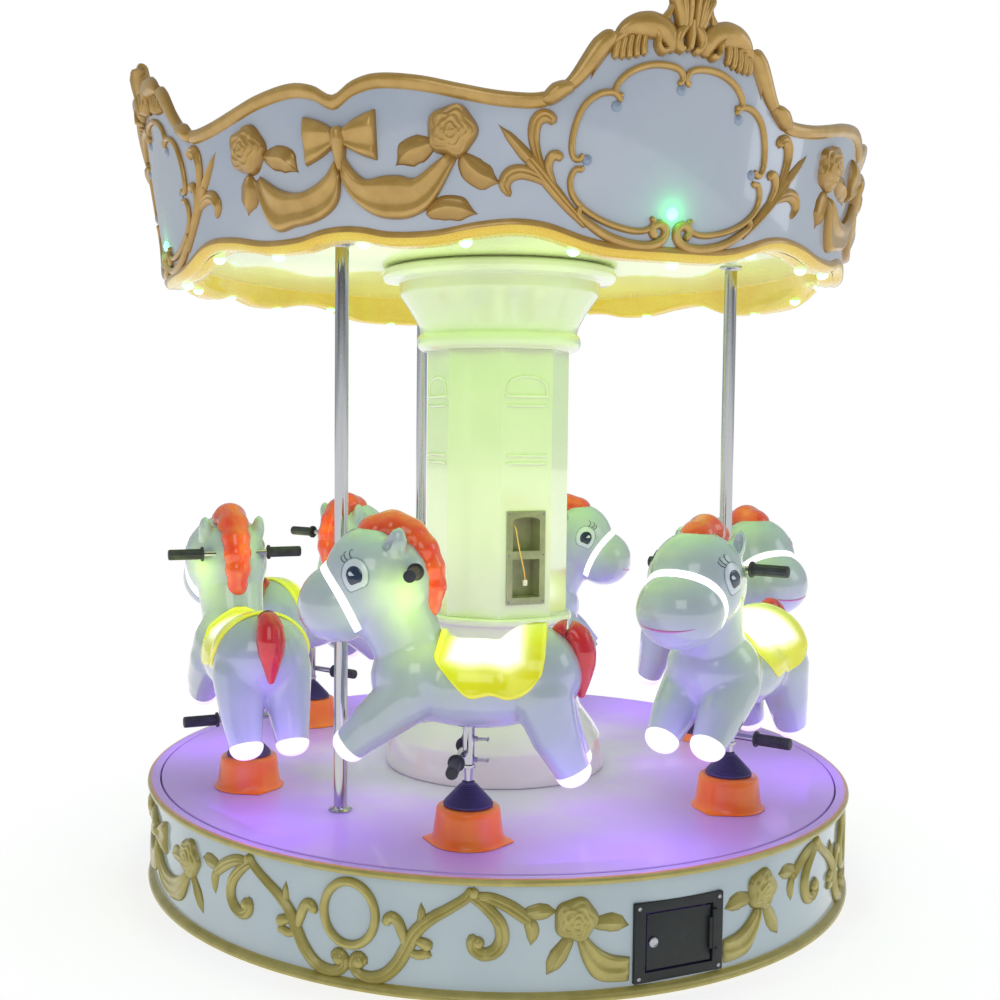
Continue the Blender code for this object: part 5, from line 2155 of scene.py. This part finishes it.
@dataclass
class Stand:
    """A pony's pot and its rubber gaiter."""

    foot: float = STANDING
    height: float = 0.0937
    rim: float = 0.103
    ear: float = 0.1205
    top_radius: float = 0.084
    bore: float = 0.0122

    def build(self, number: int, place: Matrix) -> None:
        """Make one stand.

        Args:
            number: Which pony, from 1.
            place: The pony's frame.
        """
        sides = 96
        angles = np.arange(sides) * math.tau / sides
        fold = np.abs((np.degrees(angles) + 90.0) % 180.0 - 90.0)
        ear = np.clip(1 - fold / 26.0, 0, 1) ** 1.5
        rim, neck, head = self.rim, self.top_radius, self.height
        # Radius, rise and share of the ears
        profile = [
            (self.bore, 0.0, 0.0), (rim - 0.004, 0.0, 1.0), (rim, 0.0012, 1.0),
            (rim - 0.001, 0.0032, 1.0), (rim - 0.006, 0.0052, 0.35), (rim - 0.0095, 0.012, 0.06),
            (rim - 0.0120, 0.026, 0.0), (rim - 0.0150, 0.048, 0.0), (neck + 0.0015, 0.072, 0.0),
            (neck, head - 0.010, 0.0), (neck - 0.002, head - 0.004, 0.0),
            (neck - 0.007, head - 0.0006, 0.0), (neck - 0.014, head, 0.0),
            (self.bore, head, 0.0), (self.bore, 0.0, 0.0),
        ]
        grid = np.empty((len(profile), sides, 3))
        for row, (radius, rise, share) in enumerate(profile):
            reach = radius + (self.ear - self.rim) * ear * share
            grid[row, :, 0] = reach * np.cos(angles)
            grid[row, :, 1] = reach * np.sin(angles)
            grid[row, :, 2] = self.foot + rise
        pot = Sketch(Paint.POT)
        pot.grid(grid, 0, wrap=True)
        mesh = pot.mesh("pot", closed=True)
        mesh.transform(place)
        show(f"pot_shell_{number}", mesh, "turntable", [f"pot_{number}"])
        self.gaiter(number, place, self.foot + self.height + 0.0003)

    def gaiter(self, number: int, place: Matrix, low: float) -> None:
        """Make the ribbed rubber cone that stands on the pot.

        Args:
            number: Which pony, from 1.
            place: The pony's frame.
            low: Height of its foot.
        """
        ribs, rise = 11, 0.046
        profile: list[Point] = [(self.bore, low), (0.062, low), (0.0648, low + 0.002),
                                (0.0650, low + 0.006), (0.0625, low + 0.0085)]
        for rib in range(ribs):
            share = rib / ribs
            radius = 0.0615 - 0.0425 * share
            z = low + 0.0095 + rise * share
            profile += [(radius - 0.0022, z), (radius + 0.0006, z + 0.35 * rise / ribs),
                        (radius + 0.0002, z + 0.65 * rise / ribs)]
        profile += [(0.0172, low + 0.0560), (0.0172, low + 0.0610), (0.0160, low + 0.0620),
                    (self.bore, low + 0.0620), (self.bore, low)]
        mesh = turned("gaiter", Paint.BELLOWS, profile, 64, sharp=60.0)
        mesh.transform(place)
        piece = link(f"gaiter_rubber_{number}", mesh)
        low + 0.062
        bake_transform(piece)
        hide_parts(f"gaiter_{number}")
        LOG.info("gaiter %d: %d faces", number, len(mesh.polygons))


@dataclass
class Pony:
    """One pony with its stem and bars, in its own frame: x forward, y outwards, z above the floor."""

    voxel: float = 0.008
    handle: Point = (0.136, 1.018)
    rest: Point = (0.022, 0.532)
    bar: float = 0.009
    grip: float = 0.0165
    axis_z: float = 0.735
    seat_shift: tuple[float, float, float] = (-0.010, 0.009, 0.0)

    def __post_init__(self) -> None:
        """Make every mesh once."""
        self.body = self.body_mesh()
        work = bmesh.new()
        work.from_mesh(self.body)
        self.skin = BVHTree.FromBMesh(work)
        work.free()
        self.pieces: dict[str, tuple[Mesh, str, tuple[str, ...]]] = {
            "coat": (self.body, "pony", ("body",)),
            "mane": (self.mane_mesh(), "mane", ()),
            "tail": (self.tail_mesh(), "mane", ()),
            "saddle": (self.saddle_mesh(), "saddle", ()),
            "bridle": (self.bridle_mesh(), "lamp", ()),
            "face": (self.face_mesh(), "pony", ()),
            "hooves": (self.hoof_mesh(), "lamp", ()),
            "bars": (self.handlebar_mesh(), "rubber", ("handlebar",)),
            "stalk": (self.stem_mesh(), "pole", ("stem",)),
        }

    def build(self, number: int, place: Matrix) -> None:
        """Put one pony on its lift.

        Args:
            number: Which pony, from 1.
            place: The pony's frame.
        """
        seated = place @ Matrix.Translation(self.seat_shift)
        for name, (mesh, slot, nodes) in self.pieces.items():
            copy = mesh.copy()
            copy.transform(place if name == "stalk" else seated)
            show(f"pony_{number}_{name}", copy, f"pony_{number}",
                 [f"pony_{number}_{node}" for node in nodes])

    @staticmethod
    def ball(
        work: bmesh.types.BMesh, centre: Sequence[float], radii: Sequence[float], tilt: float = 0.0,
    ) -> None:
        """Add an ellipsoid, pitched nose down by a tilt in degrees.

        Args:
            work: The forms to add to.
            centre: Its middle.
            radii: Half its length, width and height.
            tilt: How far it is pitched.
        """
        place = (
            Matrix.Translation(centre)
            @ Matrix.Rotation(math.radians(tilt), 4, "Y")
            @ Matrix.Diagonal((*radii, 1.0))
        )
        bmesh.ops.create_uvsphere(work, u_segments=32, v_segments=20, radius=1.0, matrix=place)

    @classmethod
    def limb(cls, work: bmesh.types.BMesh, points: Sequence[Sequence[float]]) -> None:
        """Add a chain of tapering round lengths through (x, y, z, radius) points.

        Args:
            work: The forms to add to.
            points: The chain's points.
        """
        for start, end in zip(points, points[1:]):
            low, high = Vector(start[:3]), Vector(end[:3])
            facing = (high - low).to_track_quat("Z", "Y").to_matrix().to_4x4()
            bmesh.ops.create_cone(
                work, cap_ends=True, segments=28, radius1=start[3], radius2=end[3],
                depth=(high - low).length, matrix=Matrix.Translation((low + high) / 2) @ facing,
            )
        for x, y, z, radius in points:
            cls.ball(work, (x, y, z), (radius,) * 3)

    def body_mesh(self) -> Mesh:
        """The moulded body: rounded forms fused and smoothed.

        Returns:
            The new mesh.
        """
        work, hollows = bmesh.new(), bmesh.new()
        self.ball(work, (-0.010, 0.0, 0.720), (0.235, 0.128, 0.112))
        self.ball(work, (0.142, 0.0, 0.735), (0.124, 0.130, 0.122))
        self.ball(work, (-0.165, 0.0, 0.755), (0.118, 0.138, 0.122))
        self.ball(work, (0.262, 0.0, 0.990), (0.128, 0.128, 0.138))
        self.ball(work, (0.215, 0.0, 0.980), (0.113, 0.116, 0.130))
        self.ball(work, (0.350, 0.0, 0.923), (0.112, 0.118, 0.104), 25.0)
        self.limb(work, ((0.225, 0.0, 0.950, 0.105), (0.160, 0.0, 0.800, 0.092)))
        for side in (-1.0, 1.0):
            self.ball(work, (0.188, side * 0.084, 1.085), (0.028, 0.020, 0.046), -12.0)
            self.ball(hollows, (0.207, side * 0.094, 1.094), (0.016, 0.013, 0.029), -12.0)
            self.limb(work, (
                (0.150, side * 0.064, 0.700, 0.074), (0.246, side * 0.066, 0.624, 0.061),
                (0.300, side * 0.066, 0.574, 0.048),
            ))
            self.limb(work, (
                (-0.180, side * 0.064, 0.710, 0.080), (-0.214, side * 0.068, 0.612, 0.063),
                (-0.256, side * 0.066, 0.530, 0.048),
            ))
        forms, holes = bpy.data.meshes.new("forms"), bpy.data.meshes.new("holes")
        for source, mesh in ((work, forms), (hollows, holes)):
            source.to_mesh(mesh)
            source.free()
        body = modified(
            forms,
            ("REMESH", {"mode": "VOXEL", "voxel_size": self.voxel}),
            ("SMOOTH", {"factor": 0.5, "iterations": 10}),
        )
        body = cut(body, holes)
        body.materials.clear()
        body.materials.append(PALETTE[Paint.PONY])
        return shade(body, 70.0)

    def cast(self, start: Sequence[float], way: Sequence[float], lift: float = 0.0) -> np.ndarray:
        """Where a ray first meets the body, from outside or from a point within.

        Args:
            start: Where the ray starts.
            way: Which way it goes.
            lift: How far above the surface the answer lies.

        Returns:
            The point, or the start where the ray misses.
        """
        hit, normal, _, _ = self.skin.ray_cast(Vector(start), Vector(way).normalized())
        if hit is None:
            return np.array(start, float)
        return np.array(hit + normal * lift)

    def mane_mesh(self) -> Mesh:
        """Mane, one thick roll with soft swells from the forelock down the back of the neck.

        Returns:
            The new mesh.
        """
        route = (
            (0.258, 0.0, 1.108), (0.222, 0.0, 1.118), (0.184, 0.0, 1.112), (0.150, 0.0, 1.088),
            (0.124, 0.0, 1.050), (0.110, 0.0, 1.004), (0.106, 0.0, 0.958), (0.112, 0.0, 0.918),
        )
        path = even_route(route, 0.004)
        along = np.linspace(0.0, 1.0, len(path))
        size = np.interp(along, np.linspace(0, 1, 8),
                         (0.046, 0.051, 0.047, 0.044, 0.042, 0.040, 0.037, 0.028))
        size += 0.0020 * np.cos(math.tau * 6.0 * along)
        sketch = Sketch(Paint.MANE)
        sketch.tube(path, size, sides=36, wide=0.94, up=(0.0, 1.0, 0.0))
        return sketch.mesh("mane", closed=True, sharp=180.0)

    def tail_mesh(self) -> Mesh:
        """The tail, a drop that is thick at its root and narrow below.

        Returns:
            The new mesh.
        """
        route = ((-0.206, 0.0, 0.850), (-0.234, 0.0, 0.866), (-0.264, 0.0, 0.850),
                 (-0.277, 0.0, 0.808), (-0.280, 0.0, 0.764), (-0.280, 0.0, 0.726),
                 (-0.279, 0.0, 0.702))
        sketch = Sketch(Paint.TAIL)
        sketch.tube(even_route(route, 0.006), (0.016, 0.028, 0.036, 0.039, 0.034, 0.022, 0.010),
                    sides=32, wide=1.05, up=(1.0, 0.0, 0.3))
        return sketch.mesh("tail", closed=True, sharp=180.0)

    def saddle_mesh(self) -> Mesh:
        """Saddle cloth laid over the back, with a raised edge and a lit seat.

        Returns:
            The new mesh.
        """
        rows, columns = 61, 61
        front = smooth_route(((0.078, 0.0), (0.085, 0.35), (0.088, 0.60), (0.060, 0.80)), 33)
        bottom = smooth_route(
            ((0.060, 0.80), (0.028, 0.97), (-0.006, 1.08), (-0.056, 1.04), (-0.104, 1.10),
             (-0.150, 0.97), (-0.183, 0.78)), 33)
        back = smooth_route(((-0.192, 0.0), (-0.192, 0.34), (-0.190, 0.60), (-0.183, 0.78)), 33)
        grid = np.empty((rows, columns, 3))
        base = np.empty((rows, columns, 3))
        relief = np.zeros((rows, columns))
        lit = np.zeros((rows, columns))
        reach = math.radians(95.0)
        for row in range(rows):
            a = row / (rows - 1)
            for column in range(columns):
                b = 2 * column / (columns - 1) - 1
                drop = abs(b)
                low = point_at(bottom, a)
                corner = front[-1] * (1 - a) + back[-1] * a
                blend = point_at(front, drop) * (1 - a) + point_at(back, drop) * a
                x, s = blend + (low - corner) * drop
                turn = s * reach * (1 if b >= 0 else -1)
                way = (0.0, math.sin(turn), math.cos(turn))
                edge = min(a, 1 - a, (1 - drop) * 0.9)
                lip = math.exp(-(((edge - 0.020) / 0.016) ** 2))
                lift = 0.0055 + 0.0025 * lip
                if edge < 0.004:
                    lift = 0.0005
                pommel = 0.016 * math.exp(-((a / 0.12) ** 2))
                pommel += 0.003 * math.exp(-(((1 - a) / 0.10) ** 2))
                pommel *= math.exp(-((drop / 0.34) ** 2))
                grid[row, column] = self.cast((x, 0.0, self.axis_z), way, lift)
                grid[row, column, 2] += pommel
                base[row, column] = (x, 0.0, self.axis_z)
                relief[row, column] = lip
                seat = min((a - 0.08) / 0.09, (0.84 - a) / 0.10, (0.64 - drop) / 0.16)
                lit[row, column] = 1 / (1 + math.exp(-4 * (seat - 0.5)))
        sketch = Sketch(Paint.SADDLE)
        sketch.grid(grid, 0, base, relief=relief, lit=lit)
        return sketch.mesh("saddle", sharp=180.0)

    def bridle_mesh(self) -> Mesh:
        """Lit band round the head, in a plane from the brow to the throat.

        Returns:
            The new mesh.
        """
        top, foot = np.array((0.4025, 0.0, 1.043)), np.array((0.276, 0.0, 0.824))
        down = (foot - top) / np.linalg.norm(foot - top)
        centre = (top + foot) / 2
        ahead = np.array((-down[2], 0.0, down[0]))
        count = 97
        half = 0.0105
        section = [(-half, -0.003), (-half, 0.0016), (-half * 0.8, 0.0030), (0.0, 0.0038),
                   (half * 0.8, 0.0030), (half, 0.0016), (half, -0.003)]
        grid = np.empty((len(section), count, 3))
        for column, turn in enumerate(np.radians(np.linspace(-146.0, 146.0, count))):
            way = -down * math.cos(turn) + np.array((0.0, 1.0, 0.0)) * math.sin(turn)
            back = 0.022 * math.sin(turn) ** 2
            for row, (shift, lift) in enumerate(section):
                height = -0.003 if column in (0, count - 1) else lift
                grid[row, column] = self.cast(centre + ahead * (shift - back), way, height)
        sketch = Sketch(Paint.BAND)
        sketch.grid(grid, 0, np.broadcast_to(centre, grid.shape))
        return sketch.mesh("bridle", sharp=180.0)

    def decal(
        self,
        sketch: Sketch,
        outline: Sequence[Point],
        centre: Point,
        side: float,
        lift: float,
        slot: int,
        rings: int = 7,
    ) -> None:
        """Add a painted shape on the side of the head.

        Args:
            sketch: The mesh to add to.
            outline: (x, z) points round the shape, from its centre.
            centre: (x, z) of its centre.
            side: -1 or 1, for which side of the head.
            lift: Height above the surface.
            slot: Number of the finish.
            rings: Number of rings from the middle to the edge.
        """
        grid = np.empty((rings, len(outline), 3))
        for row in range(rings):
            share = row / (rings - 1)
            for column, (x, z) in enumerate(outline):
                start = (centre[0] + x * share, side * 0.3, centre[1] + z * share)
                height = lift if row < rings - 1 else 0.0
                grid[row, column] = self.cast(start, (0.0, -side, 0.0), height)
        sketch.grid(grid, slot, grid * (1.0, 0.0, 1.0), wrap=True)

    @staticmethod
    def teardrop(width: float, height: float, shift: Point = (0.0, 0.0)) -> list[Point]:
        """Outline of an eye that is round above and cut to a corner below and behind.

        Args:
            width: Half its width.
            height: Half its height.
            shift: Where its middle lies.

        Returns:
            (x, z) points round it.
        """
        knots = ((1.0, 0.0), (0.93, 0.45), (0.66, 0.80), (0.22, 1.0), (-0.28, 0.95), (-0.70, 0.70),
                 (-0.95, 0.30), (-1.0, -0.10), (-0.96, -0.40), (-0.80, -0.62), (-0.40, -0.76),
                 (0.0, -0.92), (0.28, -1.0), (0.52, -0.86), (0.80, -0.50))
        ring = even_route([*knots, knots[0]], 0.13)[:-1]
        return [(shift[0] + width * float(x), shift[1] + height * float(z)) for x, z in ring]

    def face_mesh(self) -> Mesh:
        """Eyes with their rings and lashes, and the mouth line.

        Returns:
            The new mesh.
        """
        sketch = Sketch(Paint.LINE, Paint.EYE_WHITE, Paint.EYE_BLUE, Paint.MOUTH, Paint.LASH)
        centre = (0.287, 1.008)
        for side in (-1.0, 1.0):
            pupil = self.teardrop(0.0244, 0.0268, (0.001, -0.001))
            self.decal(sketch, self.teardrop(0.0385, 0.0450), centre, side, 0.0009, 0)
            self.decal(sketch, self.teardrop(0.0366, 0.0430), centre, side, 0.0016, 1)
            self.decal(sketch, pupil, centre, side, 0.0023, 2)
            spark = [(0.0150 + 0.0070 * math.cos(turn), 0.0050 + 0.0070 * math.sin(turn))
                     for turn in np.linspace(0, math.tau, 21)[:-1]]
            self.decal(sketch, spark, centre, side, 0.0029, 1, 4)
            for lash in (
                ((0.027, 0.030), (0.036, 0.034), (0.041, 0.043), (0.036, 0.047)),
                ((0.021, 0.035), (0.030, 0.043), (0.033, 0.053), (0.027, 0.056)),
                ((0.010, 0.041), (0.017, 0.050), (0.015, 0.061), (0.008, 0.061)),
            ):
                path = [
                    self.cast((centre[0] + x, side * 0.3, centre[1] + z), (0.0, -side, 0.0), 0.0004)
                    for x, z in even_route(lash, 0.003)
                ]
                sketch.tube(np.array(path), (0.0014, 0.0014, 0.0006), 4, 8)
        middle = (0.350, 0.0, 0.923)
        path = []
        for turn in np.linspace(-46, 46, 61):
            swing = math.radians(turn)
            dip = -0.44 + 0.12 * (abs(turn) / 46) ** 2.0
            way = (math.cos(swing), math.sin(swing), dip)
            path.append(self.cast(middle, way, 0.0002))
        sketch.tube(np.array(path), (0.0006, 0.0024, 0.0032, 0.0024, 0.0006), 3, 10)
        return sketch.mesh("face", sharp=180.0)

    def hoof_mesh(self) -> Mesh:
        """Four hooves, cut square across the legs.

        Returns:
            The new mesh.
        """
        sketch = Sketch(Paint.HOOF)
        for side in (-1.0, 1.0):
            ends = (
                ((0.300, side * 0.066, 0.574), (0.246, side * 0.066, 0.624)),
                ((-0.256, side * 0.066, 0.530), (-0.214, side * 0.068, 0.612)),
            )
            for end, knee in ends:
                way = (Vector(end) - Vector(knee)).normalized()
                turn = way.to_track_quat("Z", "Y").to_matrix().to_4x4()
                place = Matrix.Translation(end) @ turn
                profile = [(0.030, 0.009), (0.0452, 0.0098), (0.0474, 0.0125)]
                profile += [
                    (0.0474 * math.cos(swing) ** 0.8, 0.0125 + 0.036 * math.sin(swing))
                    for swing in np.radians(np.linspace(6, 90, 14))
                ]
                sketch.revolve(profile, 40, place=place)
        return sketch.mesh("hooves", closed=True, sharp=60.0)

    def grips(self, sketch: Sketch, x: float, z: float, half: float, inner: float) -> None:
        """Add a bar along y with a ribbed rubber grip on each end.

        Args:
            sketch: The mesh to add to, with rubber first and steel second.
            x: Where the bar lies forward.
            z: Its height.
            half: Half its length over the grips.
            inner: Where each grip starts.
        """
        sketch.tube(np.array([(x, -half + 0.01, z), (x, half - 0.01, z)]), self.bar, 1, 20)
        sides = 60
        angles = np.arange(sides) * math.tau / sides
        ribs = np.clip(np.cos(10 * angles), -0.3, 1.0)
        for side in (-1.0, 1.0):
            rows = [
                (inner, 0.60, 0.0), (inner, 1.28, 0.0), (inner + 0.001, 1.34, 0.0),
                (inner + 0.005, 1.34, 0.0), (inner + 0.006, 1.28, 0.0), (inner + 0.007, 0.92, 0.0),
                (inner + 0.010, 0.92, 1.0), (half - 0.006, 0.92, 1.0), (half - 0.004, 0.96, 0.0),
                (half - 0.001, 0.94, 0.0), (half, 0.84, 0.0), (half, 0.0, 0.0),
            ]
            grid = np.empty((len(rows), sides, 3))
            for row, (along, share, rib) in enumerate(rows):
                reach = self.grip * share + 0.0012 * ribs * rib
                grid[row, :, 0] = x + reach * np.cos(angles)
                grid[row, :, 1] = side * along
                grid[row, :, 2] = z + reach * np.sin(angles)
            sketch.grid(grid, 0, np.array((x, 0.0, z)) + grid * (0.0, 1.0, 0.0), wrap=True)

    def handlebar_mesh(self) -> Mesh:
        """The handlebar through the head.

        Returns:
            The new mesh.
        """
        sketch = Sketch(Paint.RUBBER, Paint.STEEL)
        self.grips(sketch, *self.handle, 0.204, 0.100)
        return sketch.mesh("handlebar", closed=True, sharp=45.0)

    def stem_mesh(self) -> Mesh:
        """Stem, clamp sleeve, its two T-bolts and the foot rest.

        Returns:
            The new mesh.
        """
        sketch = Sketch(Paint.RUBBER, Paint.STEEL, Paint.ZINC)
        profile = rounded((
            (0.0, 0.700), (0.0155, 0.700), (0.0155, 0.500), (0.0110, 0.498), (0.0110, 0.180),
            (0.0, 0.180),
        ), 0.0015, 3)
        sketch.revolve(profile, 40, 1)
        sketch.revolve(rounded((
            (0.0150, 0.508), (0.0185, 0.508), (0.0185, 0.498), (0.0150, 0.498),
        ), 0.001, 2), 40, 1)
        for z in (0.519, 0.574):
            sketch.tube(np.array([(-0.012, 0.0, z), (-0.050, 0.0, z)]), 0.0038, 2, 14)
            sketch.tube(np.array([(-0.050, -0.012, z), (-0.050, 0.012, z)]), 0.0034, 2, 14)
            sketch.tube(np.array([(-0.0150, 0.0, z), (-0.0225, 0.0, z)]), 0.0080, 2, 6, caps=False)
        self.grips(sketch, *self.rest, 0.190, 0.088)
        return sketch.mesh("stem", closed=True, sharp=45.0)


@dataclass
class Studio:
    """Camera, floor and lights."""

    distance: float = 4.008
    around: float = -25.3
    height: float = 1.373
    pitch: float = 3.375
    yaw: float = -2.507
    roll: float = 0.44
    lens: float = 44.96
    shift: Point = (0.0577, 0.0034)

    def camera(self) -> None:
        """Set the camera at the photograph's viewpoint."""
        pitch, yaw, roll = (math.radians(value) for value in (self.pitch, self.yaw, self.roll))
        ahead = Vector((math.sin(yaw) * math.cos(pitch), math.cos(yaw) * math.cos(pitch),
                        -math.sin(pitch)))
        level = Vector((math.cos(yaw), -math.sin(yaw), 0.0))
        above = level.cross(ahead)
        right = math.cos(roll) * level + math.sin(roll) * above
        up = -math.sin(roll) * level + math.cos(roll) * above
        turn = Matrix((right, up, -ahead)).transposed().to_4x4()
        data = bpy.data.cameras.new("camera")
        data.lens = self.lens
        data.sensor_width = 36.0
        data.shift_x, data.shift_y = self.shift
        data.clip_end = 100.0
        camera = link("camera", data)
        place = Matrix.Translation((0.0, -self.distance, self.height)) @ turn
        camera.matrix_world = Matrix.Rotation(math.radians(self.around), 4, "Z") @ place
        bpy.context.scene.camera = camera

    def floor(self) -> None:
        """A pale floor that glows plain white far off and has painted shade under the carousel."""
        sketch = Sketch(Paint.NYLON)
        sketch.revolve(((0.0, -0.0005), (2.0, -0.0005), (40.0, -0.0005)), 96)
        mesh = sketch.mesh("floor")
        material, tree, shader = blank("white studio floor")
        where = add_node(tree, "ShaderNodeTexCoord").outputs["Object"]
        far = add_node(tree, "ShaderNodeVectorMath", {0: where}, operation="LENGTH").outputs["Value"]
        share = ranged(tree, far, 1.1, 1.9, 0.70, 1.0, soft=True)
        # Painted shade: no glow where the drum stands on the floor
        shade_under_drum = ranged(tree, far, 1.00, 1.07)
        glow = add_node(tree, "ShaderNodeMath", {0: share, 1: shade_under_drum}, operation="MINIMUM")
        feed(tree, shader, {
            "Emission Strength": glow.outputs["Value"],
            "Emission Color": (1.0, 1.0, 1.0, 1.0),
            "Base Color": ranged(tree, share, 0.70, 1.0, 0.50, 0.0),
            "Specular IOR Level": 0.0,
            "Roughness": 0.9,
        })
        mesh.materials.clear()
        mesh.materials.append(material)
        link("studio_floor", mesh)

    def world(self) -> None:
        """A white backdrop, and a softer sky with a bright band for the light."""
        world = bpy.data.worlds.new("studio")
        bpy.context.scene.world = world
        world.use_nodes = True
        tree = world.node_tree
        tree.nodes.clear()
        way = add_node(tree, "ShaderNodeTexCoord").outputs["Generated"]
        split = add_node(tree, "ShaderNodeSeparateXYZ", {"Vector": way})
        front = polar(1.0, self.around, 0.0)
        towards = add_node(
            tree, "ShaderNodeVectorMath", {0: way, 1: tuple(front)}, operation="DOT_PRODUCT",
        )
        sky, mirror = (
            add_node(tree, "ShaderNodeBackground", {"Color": (0.93, 0.98, 1.03, 1.0), "Strength": power})
            for power in (
                ranged(tree, split.outputs["Z"], -0.2, 0.9, 0.26, 0.46),
                ranged(tree, towards.outputs["Value"], 0.15, 0.75, 0.50, 0.05, soft=True),
            )
        )
        white = add_node(tree, "ShaderNodeBackground", {"Color": (1.0, 1.0, 1.0, 1.0)})
        path = add_node(tree, "ShaderNodeLightPath")
        room = add_node(
            tree, "ShaderNodeMixShader",
            {0: path.outputs["Is Glossy Ray"], 1: sky.outputs["Background"],
             2: mirror.outputs["Background"]},
        )
        mixed = add_node(
            tree, "ShaderNodeMixShader",
            {0: path.outputs["Is Camera Ray"], 1: room.outputs["Shader"],
             2: white.outputs["Background"]},
        )
        add_node(tree, "ShaderNodeOutputWorld", {"Surface": mixed.outputs["Shader"]})

    @staticmethod
    def light(name: str, kind: str, place: Vector, power: float, colour: str) -> Object:
        """Add a light that neither the camera nor a reflection shows.

        Args:
            name: Its name.
            kind: Its type.
            place: Where it is.
            power: Its power in watts.
            colour: Its colour.

        Returns:
            The new light.
        """
        data = bpy.data.lights.new(name, kind)
        data.energy = power
        data.color = linear(colour)[:3]
        light = link(name, data)
        light.location = place
        light.visible_camera = False
        light.visible_glossy = False
        return light

    def lamp(
        self, name: str, place: Vector, target: Vector, size: float, power: float, colour: str,
    ) -> Object:
        """Add a soft square light.

        Args:
            name: Its name.
            place: Where it is.
            target: What it points at.
            size: Its side.
            power: Its power in watts.
            colour: Its colour.

        Returns:
            The new light.
        """
        light = self.light(name, "AREA", place, power, colour)
        light.data.size = size
        light.rotation_euler = (target - place).to_track_quat("-Z", "Y").to_euler()
        return light

    def bulb(self, name: str, place: Vector, size: float, power: float, colour: str) -> None:
        """Add a round light of this radius that shines all ways."""
        self.light(name, "POINT", place, power, colour).data.shadow_soft_size = size

    def lights(self) -> None:
        """Soft studio light and the coloured light of the carousel's own lamps."""
        middle = Vector((0.0, 0.0, 1.2))
        for name, place, size, power, colour in (
            ("key", (-2.6, -4.2, 3.4), 2.2, 26.0, "#FFFFFF"),
            ("fill", (3.4, -2.4, 2.6), 1.6, 11.0, "#F2F6FF"),
        ):
            self.lamp(name, Vector(place), middle, size, power, colour).visible_glossy = True
        # Name, radius, first angle, height, size, watts and colour of six bulbs
        bulbs = (
            ("deck_glow", 0.98, 0.0, 0.52, 0.12, 1.9, "#A860FF"),
            ("foot_glow", 0.54, 0.0, 0.50, 0.10, 0.9, "#CFA8FF"),
            ("head_glow", 0.88, -46.0, 1.34, 0.06, 0.80, "#78FF68"),
            ("seat_glow", 1.00, -36.5, 0.95, 0.07, 0.85, "#DCFF28"),
            ("back_glow", 0.79, -32.0, 1.02, 0.05, 0.16, "#E0FF48"),
        )
        for name, radius, first, height, size, power, colour in bulbs:
            for step in range(6):
                spot = polar(radius, first + 60.0 * step, height)
                self.bulb(f"{name}_{step}", spot, size, power, colour)
        # Name, count, first angle, place and target as radius and height, size, watts and colour
        panels = (
            ("rim_glow", 6, -12.0, (1.02, 0.33), (0.74, 0.80), 0.30, 1.4, "#9850FF"),
            ("ceiling_glow", 6, 0.0, (0.60, 1.74), (0.64, 3.0), 0.40, 0.42, "#DCFFA0"),
            ("canopy_glow", 6, 30.0, (0.70, 1.80), (0.62, 0.0), 0.40, 1.3, "#ACFF60"),
            ("column_glow", 8, 0.0, (0.54, 1.05), (0.0, 1.15), 0.36, 0.34, "#F4FFC4"),
        )
        for name, count, first, place, target, size, power, colour in panels:
            for step in range(count):
                angle = first + 360.0 / count * step
                spot, aim = polar(place[0], angle, place[1]), polar(target[0], angle, target[1])
                self.lamp(f"{name}_{step}", spot, aim, size, power, colour)
        canopy = Canopy()
        out = canopy.surface().radius(LIT_DOME) + 0.035
        for number in range(4):
            spot = polar(out, canopy.turn + 90.0 * number, LIT_DOME)
            self.bulb(f"medallion_glow_{number}", spot, 0.012, 0.12, "#30FF80")

    @staticmethod
    def bloom() -> None:
        """Let the lit domes and bands spill a little light round themselves."""
        scene = bpy.context.scene
        scene.use_nodes = True
        tree = scene.node_tree
        tree.nodes.clear()
        layers = add_node(tree, "CompositorNodeRLayers")
        spill = add_node(
            tree, "CompositorNodeGlare",
            {"Image": layers.outputs["Image"], "Threshold": 1.1, "Strength": 0.20, "Size": 0.22},
            glare_type="BLOOM",
        )
        add_node(tree, "CompositorNodeComposite", {"Image": spill.outputs["Image"]})

    def build(self) -> None:
        """Set up the studio."""
        self.camera()
        self.floor()
        self.world()
        self.lights()
        self.bloom()
        bpy.context.scene.view_settings.view_transform = "Standard"


def dress_frame(nodes: dict[str, Object]) -> None:
    """Give the plain steel frame under the deck its primer.

    Args:
        nodes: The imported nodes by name.
    """
    frame = nodes["base_frame"]
    for slot in frame.material_slots:
        slot.material = PALETTE[Paint.PRIMER]


def main() -> None:
    """Build everything on the frame."""
    logging.basicConfig(level=logging.INFO, format="%(message)s")
    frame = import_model()
    Studio().build()
    copier = Copier()
    panel = Panel()
    panel.lead()
    panel.build(copier)
    Drum().build()
    Door().build(copier)
    Floor().build()
    Column().build()
    Canopy().build(copier)
    Poles().build()
    stand, pony = Stand(), Pony()
    for number, drop in enumerate(PONY_DROPS, 1):
        angle = pony_angle(number - 1)
        place = Matrix.Translation(polar(PONY_RADIUS, angle, 0.0)) @ Matrix.Rotation(
            math.radians(180.0 + angle), 4, "Z",
        )
        stand.build(number, place)
        pony.build(number, Matrix.Translation((0.0, 0.0, -drop)) @ place)
    dress_frame(frame["nodes"])


if __name__ == "__main__":
    main()
